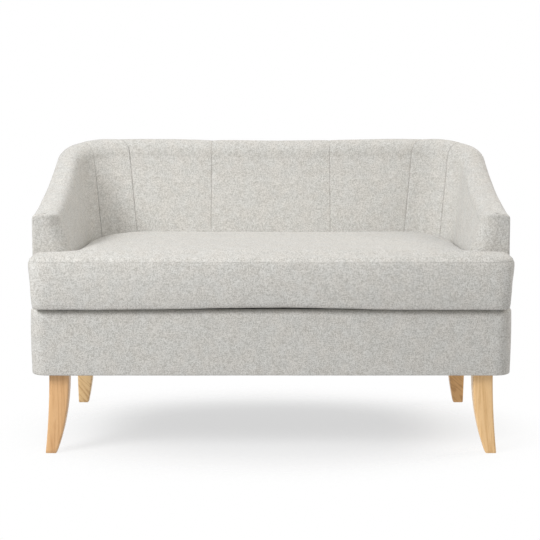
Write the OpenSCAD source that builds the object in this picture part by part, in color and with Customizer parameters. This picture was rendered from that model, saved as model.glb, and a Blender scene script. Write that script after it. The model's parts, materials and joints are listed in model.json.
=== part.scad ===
/* [Overall size] */
// Width over the arms, outside to outside
body_w = 1208; // [1040:2:1700]
// Depth of the seat, from the cushion's front seam to the inside back
seat_d = 535; // [480:5:620]
// Height of the underside of the base above the floor
leg_h = 206; // [140:1:260]
// Height of the upholstered base
base_h = 167; // [150:1:200]
// Height of the seat cushion, from the deck to its top seam
cushion_h = 121; // [100:1:160]
// Rise of the arms' front ends above the cushion's top seam
arm_rise = 111; // [80:1:180]
// Rise of the back above the arms' front ends
back_rise = 154; // [90:1:260]

/* [Arms and back] */
// Thickness of an arm at seat height
arm_t = 100; // [86:1:140]
// How far the inside of an arm leans out on its way up
arm_lean_w = 28; // [14:1:34]
// How far the inside back leans back on its way up
back_lean_d = 90; // [60:1:110]
// Thickness of the back at its top
back_top_t = 75; // [66:1:100]
// How far the outside back leans back on its way up
back_rake_d = 38; // [10:1:60]
// Radius of the rear corners, outside
rear_corner_r = 120; // [90:5:140]
// Radius of the rear corners, inside
inner_corner_r = 116; // [80:5:130]
// How far the rounded top edge drops on its outside, at the arms' front ends
arm_crest_r = 16; // [13:1:24]
// How far the rounded top edge drops on its outside, along the back
back_crest_r = 34; // [24:1:44]
// How far the rounded top edge drops further on its inside
crest_inner_drop = 12; // [0:1:20]
// How much lower the back's top edge is at its centre
back_dip_h = 5; // [0:1:12]
// How far the arms' front faces stand behind the base front
arm_set_back = 78; // [60:1:110]

/* [Base and cushion] */
// Radius of the base's front corners
front_corner_r = 40; // [30:1:60]
// How far the cushion's ears stand out past the base at each side
cushion_overhang = 5; // [0:1:14]
// How far the cushion stands out in front of the base
cushion_bulge = 10; // [0:1:20]
// How far the cushion's sides draw in from the top seam to the lower seam
cushion_draw = 13; // [4:1:18]
// Height of the cushion's crown over its top seam
cushion_crown = 15; // [4:1:24]
// Height of the lower seam above the deck
lower_seam_h = 18; // [10:1:24]
// Radius of the cushion's front corners
cushion_front_r = 36; // [24:1:50]
// Half width of the centre panel of the inside back
centre_panel_half_w = 168; // [120:1:220]
// Distance from an end of the zip to the cushion's rounded rear corner
zip_edge = 38; // [20:1:80]

/* [Legs] */
// Width and depth of a leg at its top
leg_top = 50; // [44:1:60]
// Width and depth of a leg at its foot
leg_foot = 28; // [22:1:36]
// How far a front leg's foot flares out
leg_flare = 13; // [4:1:24]
// How far a rear leg's foot kicks back
leg_kick = 18; // [0:1:24]
// Distance from the base's side to a front leg
leg_side_inset = 44; // [40:1:60]
// Distance from the base's front to a front leg
leg_front_inset = 22; // [20:1:34]
// Distance from the base's rear to a rear leg
leg_rear_inset = 47; // [45:1:60]
// Radius of a leg's long edges
leg_edge_r = 5; // [2:0.5:8]

/* [Materials] */
// Thickness of the covers
cover_t = 2; // [1.5:0.5:3]
// Thickness of the arm foam
arm_foam_t = 24; // [18:1:26]
// Thickness of the back foam
back_foam_t = 30; // [24:1:34]
// Thickness of the foam over the top edges
top_foam_t = 12; // [8:1:14]
// Thickness of the deck pad
deck_pad_t = 20; // [16:1:24]
// Thickness of the base rails
rail_t = 28; // [22:1:34]
// Height of the base rails
rail_h = 120; // [90:1:124]
// Thickness of the frame's boards
board_t = 25; // [18:1:30]
// Width of the arms' top rails
arm_rail_w = 42; // [34:1:44]
// Diameter of the seat spring wire
wire_d = 3.5; // [3:0.5:4.5]
// Number of seat springs
spring_n = 8; // [6:1:10]

/* [Hidden] */
$fn = 48;

// Colours
cloth = [0.78, 0.765, 0.74];
cloth_pale = [0.83, 0.82, 0.795];
pine = [0.82, 0.68, 0.48];
ply = [0.72, 0.58, 0.4];
leg_wood = [0.86, 0.71, 0.52];
foam = [0.93, 0.89, 0.72];
fibre = [0.95, 0.95, 0.94];
steel = [0.55, 0.56, 0.58];
black_cloth = [0.12, 0.12, 0.13];
zip_grey = [0.6, 0.59, 0.57];

// Clearances
layer_gap = 0.3;
cushion_gap = 3;
overrun = 5;

// Heights
deck_z = leg_h + base_h;
seat_z = deck_z + cushion_h;
arm_z = seat_z + arm_rise;
back_z = arm_z + back_rise;
dust_t = 1;
rail_z = leg_h + dust_t;
rail_top_z = rail_z + rail_h;
tuck_z = deck_z - cover_t - deck_pad_t;

// Places from front to back, with the overall depth centred on zero
overall_d = seat_d + back_lean_d + back_top_t;
front_y = -overall_d / 2;
back_y = overall_d / 2;
base_front_y = front_y + cushion_bulge;
arm_face_y = base_front_y + arm_set_back;
arm_y = arm_face_y + cover_t;
seat_back_y = front_y + seat_d;
half_w = body_w / 2;
base_back_y = back_y - back_rake_d;

// Shares of the crest's climb from the arms' front ends to the back
rise_start_share = 0.45;
rise_turn_share = 0.72;
rise_end_share = 0.95;
rise_bend_share = (1 - rise_start_share * (1 + rise_turn_share) / 2) / rise_turn_share;
rise_fall_share = (rise_start_share + 2 * rise_bend_share * rise_turn_share)
    / (2 * (1 - rise_turn_share));
// How square the top edge is at the arms' front ends, where 1 is an ellipse
front_square_share = 0.6;
// Share of the inside's further drop that the arms' front ends have
drop_start_share = 0.3;

// Seams along the arm, corner and back: whole numbers are the corner's ends and the centre
seam_a = 1.5;
seam_b = 2.035;
seam_c = 2.58;
seam_rear = 2.1;

// Stations up the cover's section: 0 to 1 outside, 1 to 2 over the top, 2 to 3 inside
wall_stations = [0, 0.35, 0.7, 1];
top_stations = [1, 1.08, 1.2, 1.35, 1.5, 1.65, 1.8, 1.92, 2];
inner_stations = [2.3, 2.6, 2.85, 3];
seat_station = 2.6;

function mix(a, b, s) = a + (b - a) * s;
function arm_len() = back_y - rear_corner_r - arm_y;
function corner_len() = PI / 2 * rear_corner_r;
function run_along(u) = u <= 1 ? arm_len() * u
    : u <= 2 ? arm_len() + corner_len() * (u - 1)
    : arm_len() + corner_len() + (half_w - rear_corner_r) * (u - 2);
function climb_share(t) = t < rise_turn_share
    ? rise_start_share * t + rise_bend_share * t * t
    : 1 - rise_fall_share * (1 - t) * (1 - t);
function climb(u) = climb_share(min(1, run_along(u) / (arm_len() + corner_len() * rise_end_share)));
function dip(u) = u < 2 ? 0 : back_dip_h * (1 - cos(180 * (u - 2))) / 2;
function crest_z(u) = arm_z + back_rise * climb(u) - dip(u);
function crest_r(u) = mix(arm_crest_r, back_crest_r, climb(u));
function inner_crest_r(u) = crest_r(u) + crest_inner_drop * mix(drop_start_share, 1, climb(u));
function shoulder_z(u) = crest_z(u) - crest_r(u);
function inner_shoulder_z(u) = crest_z(u) - inner_crest_r(u);
function square_share(u) = mix(front_square_share, 1, climb(u));

// A point on the U of arm, corner and back, for u from 0 to 3 on the right-hand side
function u_point(u, hw, yb, r) = u <= 1 ? [hw, mix(arm_y, yb - r, u)]
    : u <= 2 ? [hw - r + r * cos(90 * (u - 1)), yb - r + r * sin(90 * (u - 1))]
    : u <= seam_c ? [mix(hw - r, centre_panel_half_w, (u - 2) / (seam_c - 2)), yb]
    : [mix(centre_panel_half_w, 0, (u - seam_c) / (3 - seam_c)), yb];
back_shoulder_z = back_z - back_crest_r;
function outer_y(z) = back_y - back_rake_d * (back_shoulder_z - z) / (back_shoulder_z - leg_h);
function outer_xy(u, z, inset) = u_point(u, half_w - inset, outer_y(z) - inset, rear_corner_r - inset);
function lean_share(u, z) = max(0, (z - seat_z) / (inner_shoulder_z(u) - seat_z));
function inner_xy(u, z, inset) = u_point(u, half_w - arm_t + arm_lean_w * lean_share(u, z) + inset,
    seat_back_y + back_lean_d * lean_share(u, z) + inset, inner_corner_r + inset);

// A point of the body's surface; skin is its depth below the outside, the inside and the top
function body_point(u, v, skin) =
    u > 3 ? flip_x(body_point(6 - u, v, skin))
    : v <= 1 ? wall_point(u, mix(leg_h, shoulder_z(u), v), skin)
    : v < 2 ? top_point(u, 180 * (v - 1), skin)
    : inside_point(u, v <= seat_station
        ? mix(inner_shoulder_z(u), seat_z, (v - 2) / (seat_station - 2))
        : mix(seat_z, tuck_z, (v - seat_station) / (3 - seat_station)), skin);
function flip_x(p) = [-p[0], p[1], p[2]];
function wall_point(u, z, skin) = concat(outer_xy(u, z, skin[0]), [z]);
function inside_point(u, z, skin) = concat(inner_xy(u, z, skin[1]), [z]);
function round_off(c, s) = sign(c) * pow(abs(c), s);
function top_point(u, a, skin) = let (drop = a < 90 ? crest_r(u) : inner_crest_r(u)) concat(
    mix(outer_xy(u, shoulder_z(u), skin[0]), inner_xy(u, inner_shoulder_z(u), skin[1]),
        (1 - round_off(cos(a), square_share(u))) / 2),
    [crest_z(u) - drop + (drop - skin[2]) * pow(sin(a), square_share(u))]);

// Even steps from a to b
function steps(a, b, n) = [for (i = [0:n]) mix(a, b, i / n)];

// Stations along the body, shared by every layer, so that the layers lie parallel
board_u = (board_t + layer_gap) / (seat_back_y - inner_corner_r - arm_y);
straight_us = concat([board_u], steps(0.2, 1, 6));
bend_us = [1.16, 1.33];
arm_us = concat(straight_us, bend_us, [seam_a]);
corner_us = concat(steps(seam_a, 2, 4), [seam_b]);
quarter_us = concat([1], bend_us, steps(seam_a, 2, 4));
side_us = [seam_b, seam_rear, 2.34, seam_c];
centre_us = [seam_c, 2.8, 3, 3.2, 6 - seam_c];
function beyond(us) = [for (i = [len(us) - 1:-1:0]) 6 - us[i]];
function rest_of(us) = [for (i = [1:len(us) - 1]) us[i]];

// A closed sheet between two grids of points, its outside first
module thick_sheet(a, b) {
    ni = len(a);
    nj = len(a[0]);
    m = ni * nj;
    quads = concat(
        [for (i = [0:ni - 2], j = [0:nj - 2])
            [i * nj + j, (i + 1) * nj + j, (i + 1) * nj + j + 1, i * nj + j + 1]],
        [for (i = [0:ni - 2], j = [0:nj - 2])
            [m + i * nj + j, m + i * nj + j + 1, m + (i + 1) * nj + j + 1, m + (i + 1) * nj + j]],
        [for (i = [0:ni - 2]) [i * nj, m + i * nj, m + (i + 1) * nj, (i + 1) * nj]],
        [for (i = [0:ni - 2]) [i * nj + nj - 1, (i + 1) * nj + nj - 1,
            m + (i + 1) * nj + nj - 1, m + i * nj + nj - 1]],
        [for (j = [0:nj - 2]) [j, j + 1, m + j + 1, m + j]],
        [for (j = [0:nj - 2]) [m - nj + j, 2 * m - nj + j, 2 * m - nj + j + 1, m - nj + j + 1]]);
    polyhedron([for (row = a) each row, for (row = b) each row],
        [for (q = quads) each [[q[0], q[2], q[1]], [q[0], q[3], q[2]]]]);
}

// A layer of the body between two depths, over stations us along it and vs up it
module body_layer(us, vs, skin_a, skin_b) {
    thick_sheet([for (u = us) [for (v = vs) body_point(u, v, skin_a)]],
        [for (u = us) [for (v = vs) body_point(u, v, skin_b)]]);
}

// The left-hand twin of a right-hand piece
module left() {
    mirror([1, 0, 0]) children();
}

// Covers of the arms and back
no_skin = [0, 0, 0];
cover_skin = [cover_t, cover_t, cover_t];
inside_cover_stations = concat(top_stations, inner_stations);

module cover(us, vs, tone) {
    color(tone) body_layer(us, vs, no_skin, cover_skin);
}
module right_inside_arm_cover() {
    cover(concat([0], arm_us), inside_cover_stations, cloth);
}
module left_inside_arm_cover() {
    left() right_inside_arm_cover();
}
module right_inside_corner_cover() {
    cover(corner_us, inside_cover_stations, cloth);
}
module left_inside_corner_cover() {
    left() right_inside_corner_cover();
}
module right_inside_back_cover() {
    cover(side_us, inside_cover_stations, cloth);
}
module left_inside_back_cover() {
    left() right_inside_back_cover();
}
module centre_inside_back_cover() {
    cover(centre_us, inside_cover_stations, cloth);
}
module right_outside_arm_cover() {
    cover(concat([0], arm_us, rest_of(corner_us), [seam_rear]), wall_stations, cloth);
}
module left_outside_arm_cover() {
    left() right_outside_arm_cover();
}
module outside_back_cover() {
    cover(concat(rest_of(side_us), rest_of(centre_us), rest_of(beyond(rest_of(side_us)))),
        wall_stations, cloth);
}

// The outline of an arm's front end from its outside, over the top and down its inside
function arm_section(skin, low_z) = concat(
    [[half_w - skin[0], low_z]],
    [for (v = top_stations) let (p = body_point(0, v, skin)) [p[0], p[2]]],
    [[half_w - arm_t + skin[1], seat_z], [half_w - arm_t + skin[1], low_z]]);
module right_arm_facing() {
    color(cloth) translate([0, arm_y, 0]) rotate([90, 0, 0]) linear_extrude(cover_t)
        polygon(arm_section(no_skin, deck_z + layer_gap));
}
module left_arm_facing() {
    left() right_arm_facing();
}

// Front border: sections round the base's front, from the arms forward
border_top_r = 10;
border_lip = 22;
function border_section(t) = concat(
    [[border_lip, leg_h + t], [t, leg_h + t]],
    [for (a = steps(0, 90, 4)) [border_top_r - (border_top_r - t) * cos(a),
        deck_z - border_top_r + (border_top_r - t) * sin(a)]]);
function border_xy(w, inset) = w <= 1
    ? [half_w - inset, mix(arm_y, base_front_y + front_corner_r, w)]
    : w <= 2 ? [half_w - front_corner_r + (front_corner_r - inset) * cos(90 * (w - 1)),
        base_front_y + front_corner_r - (front_corner_r - inset) * sin(90 * (w - 1))]
    : [mix(half_w - front_corner_r, 0, w - 2), base_front_y + inset];
function border_point(w, s) = w > 3 ? flip_x(border_point(6 - w, s))
    : concat(border_xy(w, s[0]), [s[1]]);
border_stations = concat([0], steps(1, 2, 8), [3], steps(4, 5, 8), [6]);
module front_border_cover() {
    color(cloth) thick_sheet(
        [for (w = border_stations) [for (s = border_section(cover_t)) border_point(w, s)]],
        [for (w = border_stations) [for (s = border_section(0)) border_point(w, s)]]);
}

// Outlines in plan
function both_sides(half) = concat(half,
    [for (i = [len(half) - 1:-1:0]) [-half[i][0], half[i][1]]]);
function front_arc(inset) = [for (w = steps(2, 1, 8)) border_xy(w, inset)];
function deck_outline(inset, side_inset) = both_sides(concat(front_arc(inset),
    [[half_w - inset, arm_face_y - layer_gap]],
    [[half_w - arm_t - side_inset, arm_face_y - layer_gap]],
    [for (u = quarter_us) u_point(u, half_w - arm_t - side_inset, seat_back_y - side_inset,
        inner_corner_r - side_inset)]));
function base_outline(inset) = both_sides(concat(front_arc(inset),
    [for (u = quarter_us) outer_xy(u, leg_h, inset)]));

module deck_cover() {
    color(black_cloth) translate([0, 0, deck_z - cover_t]) linear_extrude(cover_t)
        polygon(deck_outline(border_top_r, layer_gap));
}
module deck_pad() {
    color(foam) translate([0, 0, tuck_z]) linear_extrude(deck_pad_t)
        polygon(deck_outline(border_top_r + cover_t, layer_gap));
}
module dust_cover() {
    color(black_cloth) difference() {
        translate([0, 0, leg_h]) linear_extrude(dust_t) polygon(base_outline(border_lip + layer_gap));
        leg_bolt_holes();
    }
}

// Base frame
rail_face = cover_t;
front_rail_y = base_front_y + rail_face;
rear_rail_y = base_back_y - rail_face;
side_rail_x = half_w - rail_face;
front_block_reach = 50;
front_block_l = front_corner_r + front_block_reach;
rear_block_reach = 10;
rear_block_l = rear_corner_r + rear_block_reach;
block_h = 38;
spring_drop = 20;
lip_gap = cover_t - dust_t;

module front_rail() {
    color(pine) difference() {
        translate([-side_rail_x + front_corner_r, front_rail_y, rail_z + lip_gap])
            cube([2 * (side_rail_x - front_corner_r), rail_t, rail_h - lip_gap]);
        frame_screw_holes();
    }
}
module rear_rail() {
    color(pine) difference() {
        translate([-half_w + rear_corner_r, rear_rail_y - rail_t, rail_z])
            cube([body_w - 2 * rear_corner_r, rail_t, rail_h]);
        frame_screw_holes();
    }
}
module right_side_rail() {
    color(pine) difference() {
        translate([side_rail_x - rail_t, base_front_y + front_corner_r, rail_z + lip_gap])
            cube([rail_t, base_back_y - rear_corner_r - base_front_y - front_corner_r,
                rail_h - lip_gap]);
        frame_screw_holes();
    }
}
module left_side_rail() {
    left() right_side_rail();
}
module centre_stretcher() {
    color(pine) translate([-board_t / 2, front_rail_y + rail_t, rail_z])
        cube([board_t, rear_rail_y - front_rail_y - 2 * rail_t, rail_h - spring_drop]);
}

// Corner blocks fill the corners of the frame and hold the legs
module front_block() {
    difference() {
        intersection() {
            translate([side_rail_x - front_block_l, front_rail_y, rail_z + lip_gap])
                cube([front_block_l, front_block_l, block_h]);
            translate([0, 0, rail_z]) linear_extrude(rail_h) polygon(base_outline(rail_face));
        }
        front_rail_space();
        leg_bolt_holes();
        leg_nut_space();
        frame_screw_holes();
    }
}
module front_rail_space() {
    translate([0, front_rail_y, rail_z]) cube([side_rail_x - front_corner_r, rail_t, rail_h]);
    translate([side_rail_x - rail_t, base_front_y + front_corner_r, rail_z])
        cube([rail_t, overall_d, rail_h]);
}
module front_corner_blocks() {
    color(pine) {
        front_block();
        left() front_block();
    }
}
module rear_block() {
    difference() {
        intersection() {
            translate([side_rail_x - rear_block_l, rear_rail_y - rear_block_l, rail_z + lip_gap])
                cube([rear_block_l, rear_block_l, block_h]);
            translate([0, 0, rail_z]) linear_extrude(rail_h) polygon(base_outline(rail_face));
        }
        translate([0, rear_rail_y - rail_t, rail_z])
            cube([half_w - rear_corner_r, rail_t, rail_h]);
        translate([side_rail_x - rail_t, 0, rail_z])
            cube([rail_t, base_back_y - rear_corner_r, rail_h]);
        leg_bolt_holes();
        leg_nut_space();
        frame_screw_holes();
    }
}
module rear_corner_blocks() {
    color(pine) {
        rear_block();
        left() rear_block();
    }
}

// Arm frame
liner_t = 3;
arm_rail_d = 58;
arm_rear_post_d = 30;
panel_start = 30;
arm_rear_post_y = back_y - rear_corner_r - arm_rear_post_d - panel_start;

module right_arm_front_board() {
    color(ply) translate([0, arm_y + board_t, 0]) rotate([90, 0, 0]) linear_extrude(board_t)
        polygon(arm_section(cover_skin, rail_top_z));
}
module left_arm_front_board() {
    left() right_arm_front_board();
}
function arm_rail_top(u) = inner_shoulder_z(u) - layer_gap;
arm_rail_steps = 8;
function station_of(y) = (y - arm_y) / arm_len();
module right_arm_top_rail() {
    color(pine) translate([side_rail_x - arm_rail_w, 0, 0]) rotate([90, 0, 90])
        linear_extrude(arm_rail_w) polygon(concat(
            [for (y = steps(arm_y + board_t, arm_rear_post_y, arm_rail_steps))
                [y, arm_rail_top(station_of(y))]],
            [for (y = steps(arm_rear_post_y, arm_y + board_t, arm_rail_steps))
                [y, arm_rail_top(station_of(y)) - arm_rail_d]]));
}
module left_arm_top_rail() {
    left() right_arm_top_rail();
}
module right_arm_rear_post() {
    top_z = arm_rail_top(station_of(arm_rear_post_y));
    color(pine) translate([side_rail_x - arm_rail_w, arm_rear_post_y, rail_top_z])
        cube([arm_rail_w, arm_rear_post_d, top_z - rail_top_z]);
}
module left_arm_rear_post() {
    left() right_arm_rear_post();
}
liner_stations = [2.3, seat_station, 2.85];
module right_arm_liner() {
    skin = cover_t + 2 * layer_gap + arm_foam_t;
    color(ply) body_layer([for (u = straight_us) if (u < 1) u], liner_stations,
        [0, skin, 0], [0, skin + liner_t, 0]);
}
module left_arm_liner() {
    left() right_arm_liner();
}
panel_t = 5;
panel_mid = 0.6;
panel_top = 0.97;
module right_corner_panel() {
    skin = cover_t + layer_gap;
    low = (rail_top_z - leg_h) / (shoulder_z(seam_a) - leg_h);
    color(ply) body_layer(quarter_us, [low, panel_mid, panel_top],
        [skin, 0, 0], [skin + panel_t, 0, 0]);
}
module left_corner_panel() {
    left() right_corner_panel();
}

// Back frame: boards cut to the back's side section
back_skin = cover_t + 2 * layer_gap + back_foam_t;
strap_t = 1.5;
back_post_x = half_w - rear_corner_r - board_t;
top_rail_h = 62;
lower_rail_t = 22;
lower_rail_up = 25;
lower_rail_z = deck_z + lower_rail_up;
lower_rail_h = 60;
top_gap = 3;
post_z = back_z - back_dip_h - back_crest_r - top_gap - top_rail_h;
function back_front_y(z) = inner_xy(3, z, back_skin + strap_t + layer_gap)[1];
function back_rear_y(z) = outer_y(z) - cover_t - layer_gap;
function back_side(low_z, top_z, cut) = [
    [back_front_y(low_z) + cut, low_z], [back_front_y(seat_z) + cut, seat_z],
    [back_front_y(top_z), top_z], [back_rear_y(top_z), top_z], [back_rear_y(low_z), low_z]];
module back_board(x, low_z, top_z, cut) {
    translate([x - board_t / 2, 0, 0]) rotate([90, 0, 90]) linear_extrude(board_t)
        polygon(back_side(low_z, top_z, cut));
}
module right_back_post() {
    color(pine) back_board(back_post_x, rail_top_z, post_z, 0);
}
module left_back_post() {
    left() right_back_post();
}
module back_centre_stay() {
    color(pine) back_board(0, rail_top_z, post_z, lower_rail_t);
}
module back_top_rail() {
    reach = back_post_x + board_t / 2;
    top = post_z + top_rail_h;
    color(pine) translate([-reach, 0, 0]) rotate([90, 0, 90]) linear_extrude(2 * reach)
        polygon([[back_front_y(post_z), post_z], [back_front_y(top), top],
            [back_rear_y(top), top], [back_rear_y(post_z), post_z]]);
}
module back_lower_rail() {
    reach = back_post_x - board_t / 2;
    color(pine) translate([-reach, back_front_y(seat_z), lower_rail_z])
        cube([2 * reach, lower_rail_t, lower_rail_h]);
}

// Back webbing: straps from the lower rail to the top rail, in front of both
strap_n = 5;
strap_w = 50;
strap_reach = back_post_x - board_t - strap_w;
strap_low_z = lower_rail_z;
strap_lap = 20;
strap_top_z = post_z + strap_lap;
module back_webbing() {
    front = back_skin;
    color(black_cloth) for (x = steps(-strap_reach, strap_reach, strap_n - 1))
        translate([x - strap_w / 2, 0, 0]) rotate([90, 0, 90]) linear_extrude(strap_w)
            polygon([for (s = [[strap_low_z, front], [seat_z, front], [strap_top_z, front],
                [strap_top_z, front + strap_t], [seat_z, front + strap_t],
                [strap_low_z, front + strap_t]]) [inner_xy(3, s[0], s[1])[1], s[0]]]);
}

// Seat springs: sinuous wire from the front rail to the rear rail, arched up
spring_half_w = 24;
spring_arch = 14;
spring_waves = 9;
spring_turn_steps = 6;
wire_sides = 4;
clip_l = 20;
clip_w = 34;
clip_h = 7;
clip_back = 8;
wire_z = rail_top_z + clip_h / 2;
spring_y0 = front_rail_y + rail_t - clip_l / 2;
spring_y1 = rear_rail_y - rail_t + clip_l / 2;
spring_edge = 90;
spring_reach = half_w - arm_t - spring_edge;
spring_bulge_share = 0.1;
arch_power = 1.4;
function spring_point(x, t) = let (a = 360 * spring_waves * t)
    [x + spring_half_w * sin(a),
    mix(spring_y0, spring_y1, t + spring_bulge_share / spring_waves * sin(2 * a)),
    wire_z + spring_arch * pow(sin(180 * t), arch_power)];
function unit(p) = p / norm(p);
// A tube along points, its ends flat
module wire(path, r, sides) {
    n = len(path);
    rings = [for (i = [0:n - 1])
        let (d = unit(path[min(n - 1, i + 1)] - path[max(0, i - 1)]),
            across = unit(cross(d, [0, 0, 1])),
            up = cross(across, d))
        for (k = [0:sides - 1]) path[i] + r * (cos(360 * k / sides) * across
            + sin(360 * k / sides) * up)];
    sides_faces = [for (i = [0:n - 2], k = [0:sides - 1])
        let (a = i * sides + k, b = i * sides + (k + 1) % sides)
        each [[a, b, b + sides], [a, b + sides, a + sides]]];
    caps = [for (k = [1:sides - 2]) each [[0, k + 1, k],
        [(n - 1) * sides, (n - 1) * sides + k, (n - 1) * sides + k + 1]]];
    polyhedron(rings, concat(sides_faces, caps));
}
spring_rings = spring_waves * spring_turn_steps;
spring_xs = steps(-spring_reach, spring_reach, spring_n - 1);
module seat_springs() {
    color(steel) for (x = spring_xs)
        wire([for (i = [0:spring_rings]) spring_point(x, i / spring_rings)], wire_d / 2, wire_sides);
}
module clip(x, y) {
    translate([x - clip_w / 2, y, rail_top_z]) difference() {
        cube([clip_w, clip_l, clip_h]);
        translate([-overrun, -overrun, clip_h / 2 - wire_d / 2 - layer_gap])
            cube([clip_w + 2 * overrun, clip_l + 2 * overrun - clip_back, wire_d + 2 * layer_gap]);
    }
}
module spring_clips() {
    color(steel) for (x = spring_xs) {
        translate([0, 2 * (front_rail_y + rail_t) - clip_l, 0]) mirror([0, 1, 0])
            clip(x, front_rail_y + rail_t - clip_l);
        clip(x, rear_rail_y - rail_t);
    }
}

// Padding
foam_out = cover_t + layer_gap;
foam_skin = [foam_out, foam_out, foam_out];
foam_start = 1.3;
foam_stations = [for (v = inside_cover_stations) if (v > foam_start) v];
module padding(us, depth) {
    color(foam) body_layer(us, foam_stations, foam_skin,
        [foam_out, foam_out + depth, top_foam_t]);
}
module right_arm_foam() {
    padding(arm_us, arm_foam_t);
}
module left_arm_foam() {
    left() right_arm_foam();
}
module right_corner_foam() {
    padding(corner_us, arm_foam_t);
}
module left_corner_foam() {
    left() right_corner_foam();
}
module back_foam() {
    padding(concat(side_us, rest_of(centre_us), rest_of(beyond(side_us))), back_foam_t);
}

// Seat cushion: its T is a grid of stations, drawn in by an inset and rounded at the corners
ear_half_w = half_w + cushion_overhang;
seat_half_w = half_w - arm_t - cushion_gap;
notch_y = arm_face_y - cushion_gap;
cushion_back_y = seat_back_y - cushion_gap;
ear_back_r = 16;
cushion_rear_r = inner_corner_r - cushion_gap;
zip_l = 2 * (seat_half_w - cushion_rear_r - zip_edge);
zip_slack = 8;
slot_share = 1 - (zip_l / 2 + zip_slack) / seat_half_w;
ear_shares = [0, 0.12, 0.42];
half_shares = [0, 0.04, 0.13, slot_share, 0.48, 0.74];
row_shares = [0, 0.14, 0.5, 0.86];
body_row_shares = [0, 0.16, 0.36, 0.56, 0.74, 0.87, 0.95, 1];
function left_columns(inset) = concat(
    [for (s = ear_shares) mix(-ear_half_w + inset, -seat_half_w + inset, s)],
    [for (s = half_shares) mix(-seat_half_w + inset, 0, s)]);
function columns(inset) = let (c = left_columns(inset), n = len(c))
    concat(c, [0], [for (i = [n - 1:-1:0]) -c[i]]);
function rows(inset) = concat(
    [for (s = row_shares) mix(front_y + inset, notch_y - inset, s)],
    [for (s = body_row_shares) mix(notch_y - inset, cushion_back_y - inset, s)]);
column_n = 2 * (len(ear_shares) + len(half_shares)) + 1;
row_n = len(row_shares) + len(body_row_shares);
ear_n = len(ear_shares);
notch_n = len(row_shares);
function corner(p, cx, cy, sy) = let (a = abs(p[0]) - cx, b = (p[1] - cy) * sy)
    a > 0 && b > 0
    ? let (k = max(a, b) / norm([a, b])) [sign(p[0]) * (cx + a * k), cy + sy * b * k]
    : p;
function round_corners(p) =
    p[1] < front_y + cushion_front_r
    ? corner(p, ear_half_w - cushion_front_r, front_y + cushion_front_r, -1)
    : p[1] > notch_y - ear_back_r && p[1] < notch_y && abs(p[0]) > seat_half_w
    ? corner(p, ear_half_w - ear_back_r, notch_y - ear_back_r, 1)
    : p[1] > cushion_back_y - cushion_rear_r
    ? corner(p, seat_half_w - cushion_rear_r, cushion_back_y - cushion_rear_r, 1)
    : p;
function from_edge(p, inset) = min(p[1] - front_y, cushion_back_y - p[1], ear_half_w - abs(p[0]),
    norm([max(0, seat_half_w - abs(p[0])), max(0, notch_y - p[1])])) - inset;
crown_run = 70;
crown_power = 2.4;
function crown(p, inset) = let (e = min(1, max(0, from_edge(p, inset)) / crown_run))
    cushion_crown * (1 - pow(1 - e, crown_power));
// One level of the cushion: an inset, a height, and 1 where the level is crowned
function level(inset, z, crowned) = [for (y = rows(inset), x = columns(inset))
    let (q = round_corners([x, y]))
    [q[0], q[1], z + crowned * crown([x, y], inset)]];
zip_share = 0.55;
zip_z = deck_z + cushion_h * zip_share;
slot_h = 12;
zip_inset_share = 0.35;
under_h_share = 0.5;
rest_inset = 26;
function levels(skin) = [
    level(skin, seat_z - skin, 1),
    level(cushion_draw * zip_inset_share + skin, zip_z + slot_h / 2, 0),
    level(cushion_draw * zip_inset_share + skin, zip_z - slot_h / 2, 0),
    level(cushion_draw + skin, deck_z + lower_seam_h, 0),
    level(cushion_draw + (rest_inset - cushion_draw) * zip_inset_share + skin,
        deck_z + lower_seam_h * under_h_share + skin / 2, 0),
    level(rest_inset + skin, deck_z + layer_gap + skin, 0)];
level_n = 6;
slot_level = 1;
last_col = column_n - 1;
last_row = row_n - 1;
// The boundary of the T, as grid places in order round it, from the front left
edge_loop = concat(
    [for (i = [0:last_col - 1]) [i, 0]],
    [for (j = [0:notch_n - 1]) [last_col, j]],
    [for (i = [last_col:-1:last_col - ear_n + 1]) [i, notch_n]],
    [for (j = [notch_n:last_row - 1]) [last_col - ear_n, j]],
    [for (i = [last_col - ear_n:-1:ear_n + 1]) [i, last_row]],
    [for (j = [last_row:-1:notch_n + 1]) [ear_n, j]],
    [for (i = [ear_n:-1:1]) [i, notch_n]],
    [for (j = [notch_n:-1:1]) [0, j]]);
function spot(k, g) = k * column_n * row_n + g[1] * column_n + g[0];
function in_t(i, j) = j < notch_n || (i >= ear_n && i < last_col - ear_n);
slot_first = ear_n + 3;
slot_last = last_col - ear_n - 3;
function in_slot(a, b) = a[1] == last_row && b[1] == last_row
    && min(a[0], b[0]) >= slot_first && max(a[0], b[0]) <= slot_last;
function cap_quads(k) = [for (i = [0:last_col - 1], j = [0:last_row - 1]) if (in_t(i, j))
    [spot(k, [i, j]), spot(k, [i, j + 1]), spot(k, [i + 1, j + 1]), spot(k, [i + 1, j])]];
function side_quads(first, open) = let (n = len(edge_loop))
    [for (k = [0:level_n - 2], e = [0:n - 1]) let (a = edge_loop[e], b = edge_loop[(e + 1) % n])
        if (!(open && k == slot_level && in_slot(a, b)))
        [spot(first + k, a), spot(first + k, b), spot(first + k + 1, b), spot(first + k + 1, a)]];
function turned(quads) = [for (q = quads) [q[0], q[3], q[2], q[1]]];
function halves(quads) = [for (q = quads) each [[q[0], q[1], q[2]], [q[0], q[2], q[3]]]];
function shell_quads(first, open) = concat(cap_quads(first),
    turned(cap_quads(first + level_n - 1)), side_quads(first, open));
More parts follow.
